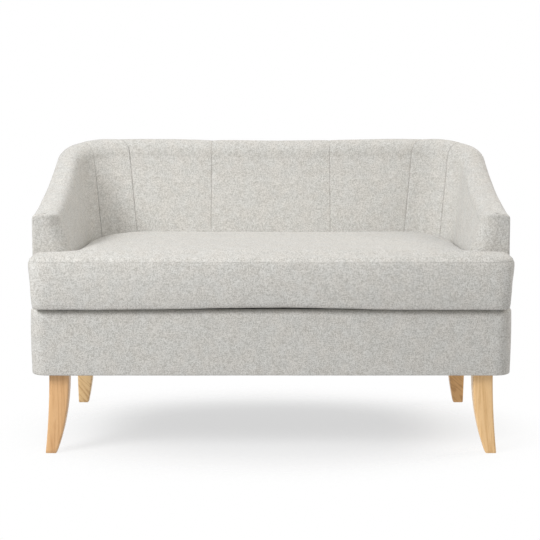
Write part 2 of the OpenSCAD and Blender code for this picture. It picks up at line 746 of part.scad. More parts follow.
// The slot's rim joins the outer and inner surfaces
rim_quads = concat(
    [for (i = [slot_first:slot_last - 1]) [spot(slot_level, [i, last_row]),
        spot(slot_level, [i + 1, last_row]), spot(slot_level + level_n, [i + 1, last_row]),
        spot(slot_level + level_n, [i, last_row])]],
    [for (i = [slot_first:slot_last - 1]) [spot(slot_level + 1, [i + 1, last_row]),
        spot(slot_level + 1, [i, last_row]), spot(slot_level + 1 + level_n, [i, last_row]),
        spot(slot_level + 1 + level_n, [i + 1, last_row])]],
    [for (s = [[slot_first, 0, 1], [slot_last, 1, 0]]) [spot(slot_level + s[1], [s[0], last_row]),
        spot(slot_level + s[1] + level_n, [s[0], last_row]),
        spot(slot_level + s[2] + level_n, [s[0], last_row]),
        spot(slot_level + s[2], [s[0], last_row])]]);
function flat(lists) = [for (l = lists) each l];

module cushion_cover() {
    color(cloth_pale) polyhedron(concat(flat(levels(0)), flat(levels(cover_t))),
        halves(concat(shell_quads(0, true), turned(shell_quads(level_n, true)), turned(rim_quads))));
}
tape_h = 20;
tape_t = 1;
tape_gap = 1;
wrap_t = 8;
core_inset = cushion_draw + cover_t + wrap_t;
core_low_z = deck_z + layer_gap + cover_t + wrap_t;
core_top_z = seat_z - cover_t - wrap_t;
function cushion_t(inset) = both_sides([[ear_half_w - cushion_front_r, front_y + inset],
    [ear_half_w - inset, front_y + cushion_front_r],
    [ear_half_w - inset, notch_y - inset], [seat_half_w - inset, notch_y - inset],
    [seat_half_w - inset, cushion_back_y - cushion_rear_r],
    [seat_half_w - cushion_rear_r, cushion_back_y - inset]]);
module core(grow) {
    translate([0, 0, core_low_z - grow]) linear_extrude(core_top_z - core_low_z + 2 * grow)
        polygon(cushion_t(core_inset - grow));
}
module cushion_foam() {
    color(foam) core(0);
}
module cushion_wrap() {
    skin = cover_t + layer_gap;
    mouth_l = zip_l + 2 * overrun;
    mouth_h = tape_h + 2 * overrun;
    color(fibre) difference() {
        polyhedron(flat(levels(skin)), halves(shell_quads(0, false)));
        core(layer_gap);
        translate([-mouth_l / 2, cushion_back_y - core_inset - overrun, zip_z - mouth_h / 2])
            cube([mouth_l, core_inset + 2 * overrun, mouth_h]);
    }
}
zip_face_y = cushion_back_y - cushion_draw * zip_inset_share;
chain_h = 6;
module cushion_zip() {
    tape_y = zip_face_y - cover_t - tape_gap - tape_t;
    color(zip_grey) {
        translate([-zip_l / 2, tape_y, zip_z - tape_h / 2]) cube([zip_l, tape_t, tape_h]);
        translate([-zip_l / 2, tape_y, zip_z - chain_h / 2])
            cube([zip_l, zip_face_y - tape_y, chain_h]);
    }
}
slider_l = 12;
slider_h = 9;
slider_t = 2;
tab_l = 22;
tab_t = 1;
slider_start = zip_l / 2 - slider_l;
module zip_slider() {
    translate([slider_start, zip_face_y + layer_gap, zip_z]) color(steel) {
        difference() {
            translate([-slider_l / 2, 0, -slider_h / 2]) cube([slider_l, slider_t, slider_h]);
            for (s = [-1, 1]) translate([s * slider_l / 2, -overrun, slider_h / 2])
                rotate([-90, 0, 0]) cylinder(r = slider_h / 4, h = slider_t + 2 * overrun);
        }
        translate([-slider_l / 6, slider_t, slider_h / 2 - tab_l]) cube([slider_l / 3, tab_t, tab_l]);
    }
}

// Legs: rings down a sabre curve, a rounded rectangle each
leg_rings = [0, 0.14, 0.28, 0.4, 0.5, 0.6, 0.69, 0.78, 0.86, 0.93, 0.99, 1];
inner_power = 2.2;
outer_power = 1.8;
leg_chamfer = 1.5;
leg_arc = [0, 30, 60, 90];
function leg_corner(x, y, r, start) = [for (a = leg_arc) [x + r * cos(start + a), y + r * sin(start + a)]];
// A ring: its low and high corners, its height and its edge radius
function leg_ring(lo, hi, z, r) = [for (c = concat(
    leg_corner(hi[0] - r, hi[1] - r, r, 0), leg_corner(lo[0] + r, hi[1] - r, r, 90),
    leg_corner(lo[0] + r, lo[1] + r, r, 180), leg_corner(hi[0] - r, lo[1] + r, r, 270)))
    [c[0], c[1], z]];
module leg_body(out_x, front, flare, kick) {
    rings = [for (t = leg_rings)
        let (hi_x = out_x + flare * pow(t, outer_power),
            lo_x = out_x - leg_top + (flare + leg_top - leg_foot) * pow(t, inner_power),
            deep = mix(leg_top, leg_foot, t),
            y = front + kick * pow(t, outer_power) + (kick > 0 ? (leg_top - leg_foot) / 2 * t : 0),
            cut = t == 1 ? leg_chamfer : 0)
        leg_ring([lo_x + cut, y + cut], [hi_x - cut, y + deep - cut], leg_h * (1 - t), leg_edge_r)];
    n = len(rings);
    m = len(rings[0]);
    polyhedron(flat(rings), concat(
        [for (i = [0:n - 2], j = [0:m - 1]) let (a = i * m + j, b = i * m + (j + 1) % m)
            each [[a, b, b + m], [a, b + m, a + m]]],
        [for (j = [1:m - 2]) each [[0, j + 1, j],
            [(n - 1) * m, (n - 1) * m + j, (n - 1) * m + j + 1]]]));
}
front_leg_x = half_w - leg_side_inset;
front_leg_y = base_front_y + leg_front_inset;
rear_leg_x = half_w - leg_rear_inset;
rear_leg_y = base_back_y - leg_rear_inset - leg_top;
leg_places = [[front_leg_x - leg_top / 2, front_leg_y + leg_top / 2],
    [rear_leg_x - leg_top / 2, rear_leg_y + leg_top / 2]];
bolt_d = 8;
bolt_in_leg = 36;
nut_barrel_d = 11;
nut_flange_d = 24;
nut_flange_t = 2;
bolt_fit = 0.05;
nut_l = 16;
nut_top_z = rail_z + block_h;
module at_legs() {
    for (p = leg_places, s = [-1, 1]) translate([s * p[0], p[1], 0]) children();
}
module leg_bolt_holes() {
    at_legs() translate([0, 0, leg_h - bolt_in_leg - layer_gap])
        cylinder(d = bolt_d + 2 * bolt_fit, h = bolt_in_leg + block_h);
}
module leg_nut_space() {
    at_legs() translate([0, 0, nut_top_z - nut_l]) cylinder(d = nut_barrel_d + 2 * bolt_fit, h = rail_h);
}
module leg_bolts() {
    color(steel) at_legs() translate([0, 0, leg_h - bolt_in_leg])
        cylinder(d = bolt_d, h = bolt_in_leg + dust_t + block_h);
}
module leg_nuts() {
    color(steel) at_legs() difference() {
        union() {
            translate([0, 0, nut_top_z + lip_gap - nut_l + layer_gap]) cylinder(d = nut_barrel_d, h = nut_l);
            translate([0, 0, nut_top_z + lip_gap]) cylinder(d = nut_flange_d, h = nut_flange_t);
        }
        translate([0, 0, leg_h]) cylinder(d = bolt_d + 2 * bolt_fit, h = rail_h);
    }
}
module front_right_leg() {
    color(leg_wood) difference() {
        leg_body(front_leg_x, front_leg_y, leg_flare, 0);
        leg_bolt_holes();
    }
}
module front_left_leg() {
    left() front_right_leg();
}
module rear_right_leg() {
    color(leg_wood) difference() {
        leg_body(rear_leg_x, rear_leg_y, 0, leg_kick);
        leg_bolt_holes();
    }
}
module rear_left_leg() {
    left() rear_right_leg();
}

// Frame screws hold the rails to the corner blocks
screw_d = 5;
screw_l = 50;
screw_head_d = 10;
screw_head_t = 3;
screw_z = rail_z + block_h / 2;
screw_side_in = 18;
screw_side_y = base_front_y + front_corner_r + screw_side_in;
screw_front_x = half_w - front_corner_r - screw_side_in;
screw_rear_in = 5;
screw_rear_y = base_back_y - rear_corner_r - screw_rear_in;
screw_rear_x = half_w - rear_corner_r - screw_rear_in;
// A screw along +X from the origin, its head outermost
module screw(fit) {
    rotate([0, 90, 0]) {
        cylinder(d = screw_d + 2 * fit, h = screw_l);
        cylinder(d = screw_head_d + 2 * fit, h = screw_head_t);
    }
}
module screws(fit) {
    for (s = [0, 1]) mirror([s, 0, 0]) {
        translate([side_rail_x, screw_side_y, screw_z]) rotate([0, 0, 180]) screw(fit);
        translate([side_rail_x, screw_rear_y, screw_z]) rotate([0, 0, 180]) screw(fit);
        translate([screw_front_x, front_rail_y, screw_z]) rotate([0, 0, 90]) screw(fit);
        translate([screw_rear_x, rear_rail_y, screw_z]) rotate([0, 0, -90]) screw(fit);
    }
}
module frame_screw_holes() {
    screws(bolt_fit);
}
module frame_screws() {
    color(steel) screws(0);
}

front_rail();
rear_rail();
left_side_rail();
right_side_rail();
centre_stretcher();
front_corner_blocks();
rear_corner_blocks();
left_arm_front_board();
right_arm_front_board();
left_arm_top_rail();
right_arm_top_rail();
left_arm_rear_post();
right_arm_rear_post();
left_arm_liner();
right_arm_liner();
left_corner_panel();
right_corner_panel();
left_back_post();
right_back_post();
back_centre_stay();
back_top_rail();
back_lower_rail();
seat_springs();
spring_clips();
back_webbing();
deck_pad();
left_arm_foam();
right_arm_foam();
left_corner_foam();
right_corner_foam();
back_foam();
front_border_cover();
deck_cover();
left_arm_facing();
right_arm_facing();
left_inside_arm_cover();
right_inside_arm_cover();
left_inside_corner_cover();
right_inside_corner_cover();
left_inside_back_cover();
right_inside_back_cover();
centre_inside_back_cover();
left_outside_arm_cover();
right_outside_arm_cover();
outside_back_cover();
dust_cover();
cushion_cover();
cushion_wrap();
cushion_foam();
cushion_zip();
zip_slider();
front_left_leg();
front_right_leg();
rear_left_leg();
rear_right_leg();
leg_bolts();
leg_nuts();
frame_screws();
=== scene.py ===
# %% [markdown]
# # Dressing a small upholstered settee
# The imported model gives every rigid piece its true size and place. This script keeps that frame and
# dresses it: woven cloth over the arms and back, a stuffed seat cushion, sawn and sanded legs, light and
# a camera. The frame is loaded first, because all that follows is measured against it.

# %% Load the frame
import json
import math

import bmesh
import bpy
import numpy as np
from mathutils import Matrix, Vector, noise


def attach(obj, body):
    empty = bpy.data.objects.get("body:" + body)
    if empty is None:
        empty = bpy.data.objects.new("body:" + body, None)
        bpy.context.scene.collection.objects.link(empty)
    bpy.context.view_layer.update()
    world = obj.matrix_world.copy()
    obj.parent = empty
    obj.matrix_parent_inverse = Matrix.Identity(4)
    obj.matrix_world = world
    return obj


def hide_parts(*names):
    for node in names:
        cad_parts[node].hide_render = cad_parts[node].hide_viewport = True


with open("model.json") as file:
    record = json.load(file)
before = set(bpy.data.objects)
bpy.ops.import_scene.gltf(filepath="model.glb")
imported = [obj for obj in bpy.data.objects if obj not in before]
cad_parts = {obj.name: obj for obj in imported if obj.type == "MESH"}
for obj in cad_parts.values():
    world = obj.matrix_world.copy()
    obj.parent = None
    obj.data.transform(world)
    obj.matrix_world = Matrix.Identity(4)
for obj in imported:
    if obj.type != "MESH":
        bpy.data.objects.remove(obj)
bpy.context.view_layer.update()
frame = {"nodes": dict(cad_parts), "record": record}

# %% [markdown]
# ## Camera
# The settee is seen from straight in front, a little above the seat, from about four metres away.
# A long lens keeps the sides nearly parallel, so the camera looks down by eight degrees and isn't shifted.

# %% Camera
camera_data = bpy.data.cameras.new("camera")
camera_data.lens = 103.35
camera_data.sensor_width = 36
camera_data.clip_end = 60
camera = bpy.data.objects.new("camera", camera_data)
camera.location = (-0.0025, -4.1461, 1.0349)
camera.rotation_euler = (math.radians(90 - 8.382), 0, 0)
bpy.context.scene.collection.objects.link(camera)
bpy.context.scene.camera = camera
print("camera", tuple(round(c, 3) for c in camera.location))

# %% [markdown]
# ## Shader maths that reads as maths
# A weave is a lot of small sums. Each one could be a node placed by hand, but an expression is easier to
# read. So one small class wraps a socket and turns +, -, *, / and ** into Math nodes, and `make` adds any
# other node.


# %% Socket wrapper
def make(tree, kind, settings=None, inputs=None, out=0):
    """Adds a node, sets its settings first and then its inputs, and returns one output."""
    node = tree.nodes.new(kind)
    for key, value in (settings or {}).items():
        if key == "stops":
            ramp = node.color_ramp
            while len(ramp.elements) < len(value):
                ramp.elements.new(0.5)
            for element, (place, colour) in zip(ramp.elements, value):
                element.position = place
                element.color = (*colour, 1)
        else:
            setattr(node, key, value)
    for key, value in (inputs or {}).items():
        if isinstance(value, Sock):
            tree.links.new(value.socket, node.inputs[key])
        else:
            node.inputs[key].default_value = value
    return Sock(tree, node.outputs[out])


class Sock:
    """One output socket, ready for sums."""

    def __init__(self, tree, socket):
        self.tree, self.socket = tree, socket

    def math(self, operation, *values):
        return make(self.tree, "ShaderNodeMath", {"operation": operation}, dict(enumerate(values)))

    def __add__(self, other):
        return self.math("ADD", self, other)

    def __sub__(self, other):
        return self.math("SUBTRACT", self, other)

    def __rsub__(self, other):
        return self.math("SUBTRACT", other, self)

    def __mul__(self, other):
        return self.math("MULTIPLY", self, other)

    def __truediv__(self, other):
        return self.math("DIVIDE", self, other)

    def __pow__(self, other):
        return self.math("POWER", self, other)

    __radd__ = __add__
    __rmul__ = __mul__

    def floor(self):
        return self.math("FLOOR", self)

    def wave(self):
        """A hump from 0 to 1 and back for each whole step."""
        return self.math("ABSOLUTE", self.math("SINE", self * math.pi))

    def odd(self):
        """1 where the whole number is odd, otherwise 0."""
        return self.math("FLOORED_MODULO", self, 2.0)


def vector(tree, x, y, z=0.0):
    return make(tree, "ShaderNodeCombineXYZ", None, {0: x, 1: y, 2: z})


def split(tree, source):
    node = make(tree, "ShaderNodeSeparateXYZ", None, {0: source}).socket.node
    return [Sock(tree, s) for s in node.outputs]


def blend(tree, factor, a, b, mode="MIX"):
    """Mixes two colours."""
    node = tree.nodes.new("ShaderNodeMix")
    node.data_type = "RGBA"
    node.blend_type = mode
    for socket, value in zip((node.inputs[0], node.inputs[6], node.inputs[7]), (factor, a, b)):
        if isinstance(value, Sock):
            tree.links.new(value.socket, socket)
        else:
            socket.default_value = value if isinstance(value, float) else (*value, 1)
    return Sock(tree, node.outputs[2])


def new_material(name, **constants):
    """A material with one Principled shader, whose constant sockets are set directly."""
    material = bpy.data.materials.new(name)
    material.use_nodes = True
    shader = material.node_tree.nodes["Principled BSDF"]
    for key, value in constants.items():
        shader.inputs[key.replace("_", " ")].default_value = value
    return material, material.node_tree, shader


def drive(tree, shader, **sources):
    for key, source in sources.items():
        tree.links.new(source.socket, shader.inputs[key.replace("_", " ")])


print("shader helpers ready")

# %% [markdown]
# ## The woven cloth
# The real cover is a plain weave of uneven yarns in a few close greys, so from afar it looks heathered:
# short light and dark dashes, across and up and down. A picture of cloth would repeat, so each yarn gets
# its own number instead, and two noises that run only along the yarn change its tone: a short one makes
# the dashes, and a long one keeps a yarn lighter or darker for about a centimetre.
# At each crossing either the upright or the level yarn is on top, as in the cloth. A faint warm and cool
# tint and a thin sheen keep the grey from looking like plaster.
# The pattern reads the piece's own UV map, which is in metres, so the yarns keep their true size.


# %% Cloth material
LINEN_PITCH, DECK_PITCH, YARN_RELIEF = 0.0021, 0.0012, 0.0007
UP_DASH, LEVEL_DASH, UP_STREAK, LEVEL_STREAK = 0.0017, 0.0018, 0.012, 0.013
DASH_SHARE, TOP_SHARE, WANDER_SHARE, CLOUD_SHARE = 0.68, 0.75, 0.35, 0.03
DARK_STOP, PALE_STOP = 0.400, 0.568
COOL, WARM = (0.990, 0.997, 1.0), (1.0, 0.993, 0.984)
HOLLOW_SHADE, SEAM_SHADE, SHADE_SHARE = 0.20, 0.09, 0.45


def flat_noise(tree, place, scale, detail):
    """Noise over the cloth's own UV plane."""
    return make(tree, "ShaderNodeTexNoise", {"noise_dimensions": "2D"},
                {"Vector": place, "Scale": scale, "Detail": detail})


def cloth_material(name, pale, dark, pitch=LINEN_PITCH):
    material, tree, shader = new_material(
        name, Roughness=0.92, Specular_IOR_Level=0.18, Sheen_Weight=0.28, Sheen_Roughness=0.4)
    uv = make(tree, "ShaderNodeUVMap", {"uv_map": "cloth"})
    u, v, _ = split(tree, uv)
    wander = flat_noise(tree, uv, 22.0, 1.0) * WANDER_SHARE
    across, along = u / pitch + wander, v / pitch + wander
    upright, level = across.floor(), along.floor()

    def yarn(number, run, seed, length):
        return flat_noise(tree, vector(tree, number * 3.17 + seed, run / length), 1.0, 1.0)

    def two_noises(number, run, seeds, lengths):
        dash, streak = (yarn(number, run, seed, length) for seed, length in zip(seeds, lengths))
        return dash * DASH_SHARE + streak * (1 - DASH_SHARE)

    up_yarn = two_noises(upright, v, (11.3, 91.7), (UP_DASH, UP_STREAK))
    level_yarn = two_noises(level, u, (57.9, 33.1), (LEVEL_DASH, LEVEL_STREAK))
    on_top = (upright + level).odd()
    crossed = (up_yarn + level_yarn) * 0.5
    tone = (on_top * up_yarn + (1 - on_top) * level_yarn) * TOP_SHARE + crossed * (1 - TOP_SHARE)
    clouded = tone * (1 - CLOUD_SHARE) + flat_noise(tree, uv, 16.0, 3.0) * CLOUD_SHARE
    ramp = make(tree, "ShaderNodeValToRGB", {"stops": [(DARK_STOP, dark), (PALE_STOP, pale)]}, {0: clouded})
    tint = make(tree, "ShaderNodeValToRGB", {"stops": [(0.35, COOL), (0.65, WARM)]},
                {0: flat_noise(tree, uv, 26.0, 1.0)})
    heather = blend(tree, 1.0, ramp, tint, "MULTIPLY")
    hollow = across.wave() * along.wave()
    seam = make(tree, "ShaderNodeAttribute", {"attribute_name": "seam"}, None, out=2)
    shade = tuple(c * SHADE_SHARE for c in dark)
    shaded = blend(tree, (1 - hollow) * HOLLOW_SHADE + seam * SEAM_SHADE, heather, shade)
    bump = make(tree, "ShaderNodeBump", None,
                {"Strength": 0.45, "Distance": YARN_RELIEF, "Height": hollow * 0.7 + tone * 0.6})
    drive(tree, shader, Base_Color=shaded, Normal=bump)
    return material


linen = cloth_material("heather_linen", (0.80, 0.785, 0.75), (0.47, 0.455, 0.42))
deck_weave = cloth_material("black_deck_cloth", (0.035, 0.035, 0.038), (0.012, 0.012, 0.014),
                            DECK_PITCH)
print("cloth:", linen.name, deck_weave.name)

# %% [markdown]
# ## Wood, metal and the hidden stuff
# The legs are light, clear-finished wood with long fine grain. Grain is noise squeezed along the leg: soft
# bands a few millimetres wide, thin darker fibres, and short pores. No two legs come from one board, so each
# has its own tone, and the rear ones are sawn askew to the grain, which shows as slanting bands. The rear right
# leg is also painted darker, as painted shade for the shade it stands in.
# The frame timber, the boards, the wire and the foam get plainer finishes of the same sort.


# %% Wood material
def wood_material(name, pale, dark, turn=(0.0, 0.0, 0.0), band=34.0, rough=0.42, coat=0.15):
    material, tree, shader = new_material(name, Roughness=rough, Coat_Weight=coat, Coat_Roughness=0.25)
    place = make(tree, "ShaderNodeTexCoord", None, None, out=3)
    turned = make(tree, "ShaderNodeMapping", None, {"Vector": place, "Rotation": turn})
    long_grain = make(tree, "ShaderNodeMapping", None, {"Vector": turned, "Scale": (1.0, 1.0, 0.07)})
    bands = make(tree, "ShaderNodeTexNoise", None,
                 {"Vector": long_grain, "Scale": band, "Detail": 3.0, "Distortion": 0.6})
    rings = (bands * 9.0).wave()
    fibres = make(tree, "ShaderNodeTexNoise", None,
                  {"Vector": long_grain, "Scale": 420.0, "Detail": 4.0, "Roughness": 0.65})
    pore_place = make(tree, "ShaderNodeMapping", None, {"Vector": turned, "Scale": (900.0, 900.0, 60.0)})
    pores = make(tree, "ShaderNodeTexVoronoi", {"feature": "F1"}, {"Vector": pore_place, "Scale": 1.0})
    dots = make(tree, "ShaderNodeMapRange", {"clamp": True},
                {"Value": pores, "From Min": 0.1, "From Max": 0.32, "To Min": 1.0, "To Max": 0.0})
    tone = rings * 0.38 + fibres * 0.62
    ramp = make(tree, "ShaderNodeValToRGB", {"stops": [(0.26, dark), (0.62, pale)]}, {0: tone})
    colour = blend(tree, dots * 0.3, ramp, tuple(c * 0.55 for c in dark))
    drive(tree, shader, Base_Color=colour)
    bump = make(tree, "ShaderNodeBump", None,
                {"Strength": 0.25, "Distance": 0.0004, "Height": fibres - dots * 0.5})
    drive(tree, shader, Normal=bump)
    return material


amber = wood_material("leg_wood_amber", (0.775, 0.465, 0.22), (0.615, 0.335, 0.14))
straw = wood_material("leg_wood_straw", (0.93, 0.61, 0.30), (0.75, 0.455, 0.195), (0.0, 0.04, 0.6))
figured = wood_material("leg_wood_figured", (0.80, 0.54, 0.262), (0.55, 0.32, 0.13), (0.0, 0.75, 0.3), 26.0)
# The rear right leg's wood is partly its own tone and partly painted shade: darker for the shade it stands in.
russet_painted_shade = wood_material("leg_wood_russet", (0.79, 0.44, 0.165), (0.535, 0.262, 0.08), (0.0, 0.75, 0.9), 26.0)
pine = wood_material("frame_pine", (0.76, 0.58, 0.36), (0.55, 0.36, 0.19), (0.0, math.pi / 2, 0.0),
                     22.0, 0.7, 0.0)
ply = wood_material("frame_board", (0.55, 0.38, 0.22), (0.36, 0.22, 0.12), (math.pi / 2, 0.0, 0.0),
                    30.0, 0.75, 0.0)
print("woods:", [wood.name for wood in (amber, straw, figured, russet_painted_shade, pine, ply)])


# %% Metal, foam, fibre and black lining
GRAIN_RELIEF = 0.0005


def speckled_material(name, pale, dark, scale, strength=0.3, **constants):
    material, tree, shader = new_material(name, **constants)
    place = make(tree, "ShaderNodeTexCoord", None, None, out=3)
    grain = make(tree, "ShaderNodeTexNoise", None, {"Vector": place, "Scale": scale, "Detail": 5.0})
    ramp = make(tree, "ShaderNodeValToRGB", {"stops": [(0.35, dark), (0.65, pale)]}, {0: grain})
    bump = make(tree, "ShaderNodeBump", None, {"Strength": strength, "Distance": GRAIN_RELIEF, "Height": grain})
    drive(tree, shader, Base_Color=ramp, Normal=bump)
    return material


steel = speckled_material("spring_steel", (0.55, 0.55, 0.56), (0.36, 0.36, 0.37), 260.0, 0.15,
                          Metallic=1.0, Roughness=0.35)
zip_metal = speckled_material("zip_nickel", (0.72, 0.71, 0.70), (0.55, 0.54, 0.53), 900.0, 0.1,
                              Metallic=1.0, Roughness=0.28)
zip_plastic = speckled_material("zip_coil", (0.50, 0.49, 0.465), (0.36, 0.35, 0.33), 1500.0, 0.2,
                                Roughness=0.5)
foam = speckled_material("pale_foam", (0.86, 0.80, 0.60), (0.74, 0.66, 0.44), 700.0, 0.5, Roughness=0.95)
lining = speckled_material("black_lining", (0.045, 0.045, 0.05), (0.015, 0.015, 0.018), 1200.0, 0.5,
                           Roughness=0.9)
fibre = speckled_material("white_fibre", (0.90, 0.90, 0.88), (0.80, 0.80, 0.78), 300.0, Roughness=0.95)
print("others:", [m.name for m in (steel, zip_metal, zip_plastic, foam, lining, fibre)])

# %% [markdown]
# ## The shape of the upholstered body
# Arms, corners and back are one padded wall bent into a U. Any point on it is named by two numbers:
# `u` runs along the U (0 at an arm's front, 1 and 2 at the ends of the rear corner, 3 at the back's centre),
# and `v` runs up the outside (0 to 1), over the top (1 to 2) and down the inside (2 to 3).
# A v below 0 is cloth turned in under the rails. Arms are squarer on top than the back, so the top's round
# is a superellipse whose power grows to a circle's on the way to the back.
# These are the maker's own measures of the wall, in metres, the same as the frame's.

# %% Measures of the body
HALF_W, ARM_T, ARM_LEAN = 0.604, 0.100, 0.028
FACE_Y, ARM_Y, SEAT_BACK_Y, BACK_Y = -0.262, -0.260, 0.185, 0.350
BACK_LEAN, BACK_RAKE = 0.090, 0.038
OUTER_R, INNER_R = 0.120, 0.116
LEG_H, DECK_Z, SEAT_Z, ARM_Z, BACK_Z = 0.206, 0.373, 0.494, 0.605, 0.759
ARM_CREST, BACK_CREST, BACK_DIP = 0.016, 0.034, 0.005
ARM_ROLL, BACK_ROLL = 0.032, 0.046
RISE_START, RISE_TURN, RISE_END = 0.45, 0.72, 0.95
SEAM_A, SEAM_B, SEAM_C, SEAM_REAR = 1.5, 2.035, 2.58, 2.1
CENTRE_HALF = 0.168
TUCK_Z, SEAT_V = 0.351, 2.6
ARM_SQUARE_OUT, ARM_SQUARE_IN = 0.6, 0.75
UNDER_Z = LEG_H + 0.0002
RISE_BEND = (1 - RISE_START * (1 + RISE_TURN) / 2) / RISE_TURN
RISE_FALL = (RISE_START + 2 * RISE_BEND * RISE_TURN) / (2 * (1 - RISE_TURN))


def mix(a, b, s):
    return a + (b - a) * s


def smooth(s):
    s = min(1.0, max(0.0, s))
    return s * s * (3 - 2 * s)


def climb(u):
    """How far the top edge has climbed from the arm's front to the back."""
    arm_len, corner_len = BACK_Y - OUTER_R - ARM_Y, math.pi / 2 * OUTER_R
    run = arm_len * u if u <= 1 else arm_len + corner_len * (u - 1) if u <= 2 else 9.0
    t = min(1.0, run / (arm_len + corner_len * RISE_END))
    if t < RISE_TURN:
        return RISE_START * t + RISE_BEND * t * t
    return 1 - RISE_FALL * (1 - t) * (1 - t)


def crest_z(u):
    dip = 0 if u < 2 else BACK_DIP * (1 - math.cos(math.pi * (u - 2))) / 2
    return ARM_Z + (BACK_Z - ARM_Z) * climb(u) - dip


def crest_r(u):
    return mix(ARM_CREST, BACK_CREST, climb(u))


def inner_crest_r(u):
    return mix(ARM_ROLL, BACK_ROLL, climb(u))


def u_point(u, half_w, back_y, r):
    if u <= 1:
        return half_w, mix(ARM_Y, back_y - r, u)
    if u <= 2:
        a = math.pi / 2 * (u - 1)
        return half_w - r + r * math.cos(a), back_y - r + r * math.sin(a)
    if u <= SEAM_C:
        return mix(half_w - r, CENTRE_HALF, (u - 2) / (SEAM_C - 2)), back_y
    return mix(CENTRE_HALF, 0, (u - SEAM_C) / (3 - SEAM_C)), back_y


def outer_xy(u, z):
    shoulder = BACK_Z - BACK_CREST
    return u_point(u, HALF_W, BACK_Y - BACK_RAKE * (shoulder - z) / (shoulder - LEG_H), OUTER_R)


def inner_xy(u, z):
    lean = max(0, (z - SEAT_Z) / (crest_z(u) - inner_crest_r(u) - SEAT_Z))
    return u_point(u, HALF_W - ARM_T + ARM_LEAN * lean, SEAT_BACK_Y + BACK_LEAN * lean, INNER_R)


def power(c, s):
    return math.copysign(abs(c) ** s, c)


def body_point(u, v):
    """A point of the padded wall, on the right for u up to 3 and on the left beyond."""
    if u > 3:
        x, y, z = body_point(6 - u, v)
        return -x, y, z
    shoulder, inner_shoulder = crest_z(u) - crest_r(u), crest_z(u) - inner_crest_r(u)
    if v < 0:
        return (*u_point(u, HALF_W + v, BACK_Y - BACK_RAKE + v, OUTER_R + v), UNDER_Z)
    if v <= 1:
        z = mix(LEG_H, shoulder, v)
        return (*outer_xy(u, z), z)
    if v < 2:
        a, square = math.pi * (v - 1), mix(ARM_SQUARE_OUT if v < 1.5 else ARM_SQUARE_IN, 1, climb(u))
        out, inn = outer_xy(u, shoulder), inner_xy(u, inner_shoulder)
        s = (1 - power(math.cos(a), square)) / 2
        drop = crest_r(u) if v < 1.5 else inner_crest_r(u)
        return mix(out[0], inn[0], s), mix(out[1], inn[1], s), crest_z(u) - drop * (1 - math.sin(a) ** square)
    if v <= SEAT_V:
        z = mix(inner_shoulder, SEAT_Z, (v - 2) / (SEAT_V - 2))
    else:
        z = mix(SEAT_Z, TUCK_Z, (v - SEAT_V) / (3 - SEAT_V))
    return (*inner_xy(u, z), z)


print("top edge at the arm, corner and centre:", [round(crest_z(u), 3) for u in (0, 1.5, 3)])

# %% [markdown]
# ## Panels
# A cover is cut in panels and sewn. Each panel here is a grid that bmesh makes flat and that is then laid on
# the wall, one row and column for each station. Stations crowd together at the seams, because there the
# cloth turns into the seam within a few millimetres: it dips, and its neighbour dips to meet it.
# The alternative, one big mesh with painted lines, would look flat in raking light.


# %% Grid laid on a surface
SEAM_STATIONS, LEAST_STEP_SHARE = (0.12, 0.26, 0.42, 0.62, 0.85), 0.09


def crowd(a, b, n, near_a, near_b):
    """n steps from a to b, with extra stations close to the ends that are seams; near_ is a seam's reach."""
    stations = [mix(a, b, i / n) for i in range(n + 1)]
    seams = [(end, reach, way) for end, reach, way in ((a, near_a, 1), (b, near_b, -1)) if reach]
    for end, reach, way in seams:
        stations += [end + way * reach * s for s in SEAM_STATIONS]
    stations = sorted(stations)
    kept = [stations[0]]
    for s in stations[1:]:
        if s - kept[-1] > LEAST_STEP_SHARE * min(reach for _, reach, _ in seams):
            kept.append(s)
    kept[-1] = b
    return kept


def lay_grid(points, uvs, seams):
    """A bmesh grid whose vertex in row j and column i takes points[i][j]."""
    columns, rows = points.shape[0], points.shape[1]
    bm = bmesh.new()
    bmesh.ops.create_grid(bm, x_segments=columns - 1, y_segments=rows - 1, size=1)
    uv_layer = bm.loops.layers.uv.new("cloth")
    seam_layer = bm.verts.layers.float.new("seam")
    spot = {}
    for vert in bm.verts:
        i = round((vert.co.x + 1) / 2 * (columns - 1))
        j = round((vert.co.y + 1) / 2 * (rows - 1))
        spot[vert] = (i, j)
    for vert, (i, j) in spot.items():
        vert.co = points[i, j]
        vert[seam_layer] = seams[i, j]
    for face in bm.faces:
        for loop in face.loops:
            loop[uv_layer].uv = uvs[spot[loop.vert]]
    return bm


def arc_lengths(points):
    """Distances along each grid line, for a UV map in metres."""
    du = np.linalg.norm(np.diff(points, axis=0), axis=2)
    dv = np.linalg.norm(np.diff(points, axis=1), axis=2)
    s = np.vstack([np.zeros((1, points.shape[1])), np.cumsum(du, axis=0)])
    t = np.hstack([np.zeros((points.shape[0], 1)), np.cumsum(dv, axis=1)])
    s -= s.mean(axis=0, keepdims=True)
    return np.dstack([s, t])


def grid_normals(points):
    a = np.gradient(points, axis=0)
    b = np.gradient(points, axis=1)
    n = np.cross(a, b)
    return n / np.maximum(np.linalg.norm(n, axis=2, keepdims=True), 1e-9)


def ripple(p, scale, seed=0.0):
    return noise.noise(Vector(p) * scale + Vector((seed, seed * 2, -seed)))


def finish_mesh(bm, name, material, outward=None):
    """Turns a bmesh into an object at the origin, faces outwards, smooth."""
    if outward is not None:
        bm.normal_update()
        if sum(f.normal.dot(outward(f.calc_center_median())) for f in bm.faces) < 0:
            bmesh.ops.reverse_faces(bm, faces=bm.faces)
    mesh = bpy.data.meshes.new(name)
    bm.to_mesh(mesh)
    bm.free()
    for polygon in mesh.polygons:
        polygon.use_smooth = True
    mesh.materials.append(material)
    piece = bpy.data.objects.new(name, mesh)
    bpy.context.scene.collection.objects.link(piece)
    return piece


